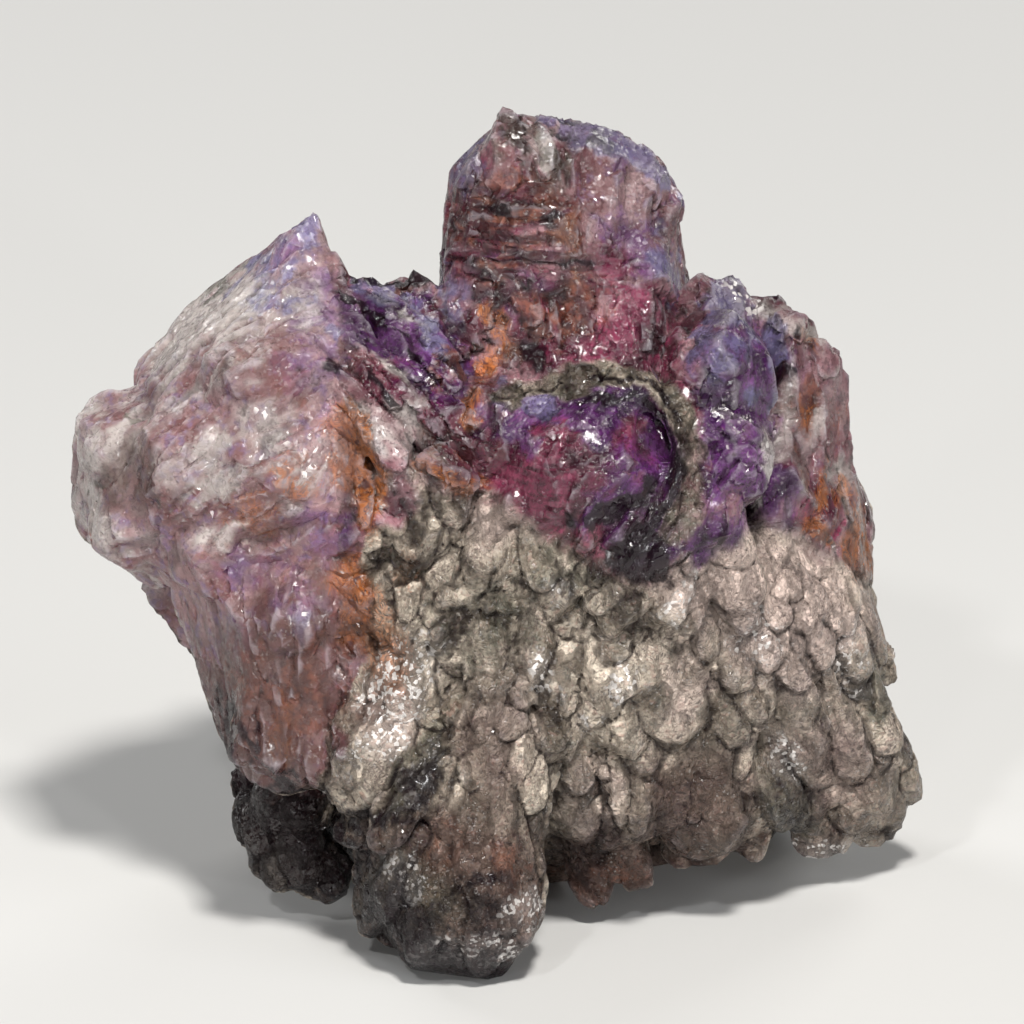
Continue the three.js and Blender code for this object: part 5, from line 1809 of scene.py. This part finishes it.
@dataclass
class Cluster:
    """The whole cluster as one refined mesh. Its voxel is in metres, the other lengths in millimetres."""

    voxel: float = 0.34 * MM
    most_triangles: int = 195_000
    crease: float = math.radians(24.0)
    deepest: float = 1.2
    highest: float = 1.2
    worn_rounds: int = 80
    flat_rounds: int = 160
    cut_rounds: int = 50
    farthest: float = 0.8
    coats: tuple[tuple[Tongues, float, float], ...] = (
        # each coat, and its share on the skin and on the clear crystal
        (Tongues(4.2, 10, 0.6, 0.22, half_width=2.3, half_length=4.6, bulge=0.65, tilt=0.55), 1.0, 0.0),
        (Tongues(2.2, 11, 0.2, 0.35, half_width=1.2, half_length=2.4, bulge=0.3, tilt=0.25), 0.45, 0.0),
        (Tongues(2.6, 12, 0.5, 0.15, half_width=1.0, half_length=3.4, bulge=0.5, tilt=0.4), 0.0, 0.6),
    )
    broad_cut: Cut = Cut(5.0, 2.2, 0.33, 31, stretch=1.8)
    small_cut: Cut = Cut(2.2, 1.2, 0.20, 37, stretch=2.2)

    def build(self, node: bpy.types.Object) -> bpy.types.Object:
        """Copies the solid, covers it with small crystals and keeps the washes on it.

        Args:
            node: the plain solid.

        Returns:
            The refined object.
        """
        body = bpy.data.objects.new("amethyst_surface", node.data.copy())
        bpy.context.scene.collection.objects.link(body)
        apply_modifier(body, "REMESH", mode="VOXEL", voxel_size=self.voxel)
        LOG.info("remeshed to %d points", len(body.data.vertices))
        surface = Surface(body.data)
        self._wear_down(surface)
        zones = Zones(surface)
        growth = Growth(surface, zones)
        placed = Placed(zones, STEM_SHARDS + CLEAR_SHARDS)
        tongues = self._grow(surface, zones, growth, placed)
        self._cut(surface, zones, growth, tongues, placed)
        zones.keep()
        surface.write()
        surface.read()
        self._hollows(surface)
        triangles = sum(len(polygon.vertices) - 2 for polygon in body.data.polygons)
        apply_modifier(body, "DECIMATE", ratio=min(1.0, self.most_triangles / triangles))
        keep_largest_part(body.data)
        body.data.set_sharp_from_angle(angle=self.crease)
        LOG.info("the cluster's surface has %d faces", len(body.data.polygons))
        return body

    def _wear_down(self, surface: Surface) -> None:
        """Fills the crevices of the plain solid a little, and levels the stem between its outlines.

        Args:
            surface: the surface.
        """
        zones = Zones(surface)
        look = np.array(SIGHT.look)
        facing = np.clip(-(surface.smoothed(surface.normals, 6) @ look), 0.0, 1.0)
        level = surface.smoothed(surface.points, self.worn_rounds)
        flat = surface.smoothed(level, self.flat_rounds)
        across, up = zones.seen[:, 0], zones.seen[:, 1]
        on_rim = smooth_step(4.6, 3.0, distance_to_line(zones.seen[:, :2], RIM_LINE)) * zones.front
        notched = np.zeros(len(across))
        for middle_across, middle_up, reach in NOTCHES:
            away = np.hypot(across - middle_across, up - middle_up)
            notched = np.maximum(notched, smooth_step(reach, 0.5 * reach, away) * zones.front)
        wide = np.maximum(np.maximum(on_rim, notched), 0.6 * zones[Wash.SKIN] * zones.front)
        level += wide[:, None] * (flat - level)
        push = level - surface.points
        depth = np.sum(push * surface.normals, axis=1)
        on_crown = smooth_step(65, 69, up) * smooth_step(-7, -5, across) * smooth_step(22, 19, across)
        on_saddle = smooth_step(7, 5, np.abs(across + 8)) * smooth_step(44, 48, up) * zones.front
        fill = np.maximum(0.7 - 0.4 * on_crown + 0.3 * on_saddle, np.maximum(on_rim, notched))
        share = np.where(depth > 0, fill, np.maximum(0.35 * on_saddle, on_rim))
        share = np.maximum(share, zones[Wash.SKIN] * (0.3 + 0.65 * smooth_step(0.3, 0.75, facing)))
        knob_across, knob_up, knob_reach = KNOB
        from_knob = np.hypot(across - knob_across, up - knob_up)
        on_knob = smooth_step(knob_reach, 0.4 * knob_reach, from_knob)
        share = np.maximum(share, 0.6 * on_knob)
        share *= smooth_step(0.5, 3.0, zones.height)
        surface.points = surface.points + surface.smoothed(share[:, None] * push, 3)
        surface.write()
        surface.read()
        surface.normals = surface.smoothed(surface.normals, 4)
        surface.normals /= np.linalg.norm(surface.normals, axis=1, keepdims=True)

    def _grow(self, surface: Surface, zones: Zones, growth: Growth, placed: Placed) -> Faces:
        """Covers the surface with tongues.

        Args:
            surface: the surface.
            zones: the washes on it.
            growth: the way that its crystals point.
            placed: the larger shards of its front.

        Returns:
            The tongues that cover the stem's skin.
        """
        skin = zones[Wash.SKIN]
        scale = 0.85 + 0.4 * smooth_step(8.0, 26.0, zones.seen[:, 0])
        heights = np.zeros(len(surface.points))
        laid = []
        for coat, on_skin, on_clear in self.coats:
            height, faces = coat.laid(surface, growth, scale)
            heights += (on_skin * skin + on_clear * (1.0 - skin)) * height * (1.0 - 0.55 * placed.cover)
            laid.append(faces)
            LOG.info("laid %d tongues", faces.count)
        heights = heights * (1.0 - 0.3 * zones.front * skin) + placed.push - 0.15 * placed.edge
        push = np.clip(heights, -self.deepest, self.highest) * smooth_step(0.2, 2.5, zones.height)
        surface.points = surface.points + push[:, None] * MM * surface.normals
        surface.write()
        surface.read()
        return laid[0]

    def _cut(self, surface: Surface, zones: Zones, growth: Growth, tongues: Faces, placed: Placed) -> None:
        """Cuts flat faces into the surface, and keeps a chance value and a place for each of them.

        Args:
            surface: the surface.
            zones: the washes on it, which end at the edges of the faces.
            growth: the way that its crystals point.
            tongues: the tongues that cover the skin.
            placed: the larger shards of the front.
        """
        skin = zones[Wash.SKIN]
        milky = smooth_step(-13, -18, zones.seen[:, 0]) * (1.0 - skin)
        strength = (1.0 - 0.4 * milky - 0.78 * skin) * (1.0 - 0.2 * placed.cover)
        strength *= smooth_step(0.2, 2.5, zones.height)
        broad, broad_middle, broad_tilt = self.broad_cut.split(surface, growth, zones.middling)
        small, small_middle, small_tilt = self.small_cut.split(surface, growth, zones.quick)
        on_skin = 0.85 * skin[:, None]
        fine_share = 0.55 + 0.35 * skin[:, None]
        wanted = (1.0 - on_skin) * (broad_middle + broad_tilt)
        wanted = wanted + on_skin * small_middle + fine_share * small_tilt
        wanted = surface.normals + strength[:, None] * (wanted - surface.normals)
        wanted = wanted / np.linalg.norm(wanted, axis=1, keepdims=True)
        first = np.zeros(len(surface.mesh.polygons), np.int64)
        first[surface.corner_face] = surface.corners
        move = surface.smoothed(surface.turned(wanted[first], self.cut_rounds) - surface.points, 1)
        length = np.linalg.norm(move, axis=1, keepdims=True)
        surface.points += move * np.minimum(1.0, self.farthest * MM / np.maximum(length, 1e-9))
        surface.points[:, 2] = np.maximum(surface.points[:, 2], 0.0)
        LOG.info("cut %d broad and %d small faces", broad.count, small.count)
        rng = np.random.default_rng(self.small_cut.seed + 2)
        broad_chance, small_chance, tongue_chance = (
            rng.random(faces.count)[faces.number] for faces in (broad, small, tongues)
        )
        on_stem = skin > 0.5
        own = placed.cover > 0.5
        chance = np.where(own, placed.tone - 0.05, np.where(on_stem, tongue_chance, broad_chance))
        surface.keep("tone", np.where(own, 0.7 * chance + 0.3 * small_chance, 0.5 * (chance + small_chance)))
        surface.keep("across", np.where(own, placed.across, np.where(on_stem, tongues.across, small.across)))
        surface.keep("along", np.where(own, placed.along, np.where(on_stem, tongues.along, small.along)))
        edge = np.where(on_stem, tongues.edge, np.maximum(broad.edge, 0.6 * small.edge))
        surface.keep("edge", np.maximum(edge * (1.0 - 0.5 * placed.cover), 0.8 * placed.edge))
        zones.split(broad, amount=0.25, seed=61)
        zones.split(small, amount=0.35, seed=67)

    def _hollows(self, surface: Surface) -> None:
        """Keeps how deep each point lies in a wide hollow and in a narrow crease, or stands out of them.

        Args:
            surface: the surface.
        """
        for name, rounds, full in (("hollow", 30, 0.7), ("crease", 5, 0.16)):
            level = surface.smoothed(surface.points, rounds)
            depth = np.sum((level - surface.points) * surface.normals, axis=1) / MM
            surface.keep(name, np.clip(depth / full, -1.0, 1.0))

    def dress(self, body: bpy.types.Object, effects: Effects) -> None:
        """Gives each face the finish of its zone.

        Args:
            body: the refined object.
            effects: the shader groups that the finishes share.
        """
        body.data.materials.clear()
        for finish in FINISHES:
            body.data.materials.append(finish.material(effects))
        middles = np.empty(len(body.data.polygons) * 3)
        body.data.polygons.foreach_get("center", middles)
        seen = SIGHT.seen(middles.reshape(-1, 3))
        skin = np.empty(len(body.data.vertices), np.float32)
        body.data.attributes[Wash.SKIN.value].data.foreach_get("value", skin)
        starts = np.empty(len(body.data.polygons), np.int64)
        body.data.polygons.foreach_get("loop_start", starts)
        corners = np.empty(len(body.data.loops), np.int64)
        body.data.loops.foreach_get("vertex_index", corners)
        first = corners[starts]
        glassy = np.where(seen[:, 0] < MILKY_EDGE, MILKY_QUARTZ, GLASS)
        index = np.where(skin[first] > 0.5, SPARKLING_SKIN, glassy)
        body.data.polygons.foreach_set("material_index", index.astype(np.int32))


@dataclass(frozen=True)
class Lamp:
    """A square light that looks at the cluster. Lengths are in metres, its power is in watts."""

    name: str
    place: tuple[float, float, float]
    size: float
    power: float
    tint: tuple[float, float, float] = (1.0, 1.0, 1.0)


LAMPS = (
    Lamp("key", (0.10, -0.50, 0.88), 0.12, 9.8, (1.0, 0.97, 0.93)),
    Lamp("fill", (0.7, -0.45, 0.40), 0.4, 1.3, (0.95, 0.97, 1.0)),
    Lamp("rim", (-0.6, 0.5, 0.5), 0.3, 2.4),
    Lamp("back", (0.45, 0.75, 0.5), 0.4, 2.6, (1.0, 0.98, 0.95)),
    Lamp("spark_left", (-0.55, -0.80, 0.20), 0.05, 1.3),
    Lamp("spark_middle", (-0.12, -0.95, 0.12), 0.05, 1.3),
    Lamp("spark_right", (0.40, -0.85, 0.25), 0.05, 1.3),
    Lamp("spark_top", (-0.25, -0.60, 0.66), 0.05, 1.4),
)


@dataclass(frozen=True)
class Studio:
    """The floor, the lights and the camera. Lengths are in metres, the aim and the sensor in millimetres."""

    lamps: tuple[Lamp, ...] = LAMPS
    lit_height: float = 0.045
    sky_tint: tuple[float, float, float, float] = (0.92, 0.95, 1.0, 1.0)
    sky_strength: float = 0.06
    floor_tint: tuple[float, float, float, float] = (0.64, 0.64, 0.63, 1.0)
    floor_size: float = 6.0
    aim_across: float = 1.7
    aim_up: float = 47.3
    distance: float = 1.2
    frame_width: float = 0.1024
    sensor: float = 36.0

    def build(self) -> None:
        """Sets up the whole studio."""
        self._floor()
        self._lights()
        self._camera()
        world = bpy.data.worlds.new("studio")
        world.use_nodes = True
        sky = world.node_tree.nodes["Background"]
        sky.inputs["Color"].default_value = self.sky_tint
        sky.inputs["Strength"].default_value = self.sky_strength
        bpy.context.scene.world = world
        bpy.context.scene.view_settings.view_transform = "Standard"

    def _floor(self) -> None:
        """A wide pale floor."""
        half = self.floor_size / 2
        mesh = bpy.data.meshes.new("floor")
        corners = [(-half, -half, 0), (half, -half, 0), (half, half, 0), (-half, half, 0)]
        mesh.from_pydata(corners, [], [(0, 1, 2, 3)])
        floor = bpy.data.objects.new("floor", mesh)
        bpy.context.scene.collection.objects.link(floor)
        material = bpy.data.materials.new("pale_floor")
        material.use_nodes = True
        shader = material.node_tree.nodes["Principled BSDF"]
        shader.inputs["Base Color"].default_value = self.floor_tint
        shader.inputs["Roughness"].default_value = 0.9
        mesh.materials.append(material)

    def _lights(self) -> None:
        """Soft light from above, a fill, two lights from behind and four small ones that make sparkles."""
        middle = Vector((0.0, 0.0, self.lit_height))
        for lamp in self.lamps:
            light = bpy.data.lights.new(lamp.name, "AREA")
            light.size = lamp.size
            light.energy = lamp.power
            light.color = lamp.tint
            made = bpy.data.objects.new(lamp.name, light)
            made.location = lamp.place
            made.rotation_euler = (middle - Vector(lamp.place)).to_track_quat("-Z", "Y").to_euler()
            bpy.context.scene.collection.objects.link(made)

    def _camera(self) -> None:
        """Looks at the front from a little above, through a long lens."""
        lens = bpy.data.cameras.new("camera")
        lens.sensor_width = self.sensor
        lens.lens = self.sensor * self.distance / self.frame_width
        lens.clip_end = 20.0
        made = bpy.data.objects.new("camera", lens)
        target = SIGHT.place(self.aim_across, self.aim_up, 0.0)
        made.location = target - SIGHT.look * self.distance
        made.rotation_euler = SIGHT.look.to_track_quat("-Z", "Y").to_euler()
        bpy.context.scene.collection.objects.link(made)
        bpy.context.scene.camera = made


def main() -> None:
    """Builds the studio and the cluster, hangs the cluster under the root body and hides the plain solid."""
    logging.basicConfig(level=logging.INFO, format="%(relativeCreated)d ms %(message)s")
    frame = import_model()
    Studio().build()
    cluster = Cluster()
    body = cluster.build(frame["nodes"][NODE])
    cluster.dress(body, Effects())
    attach(body, "root")
    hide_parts(NODE)


if __name__ == "__main__":
    main()
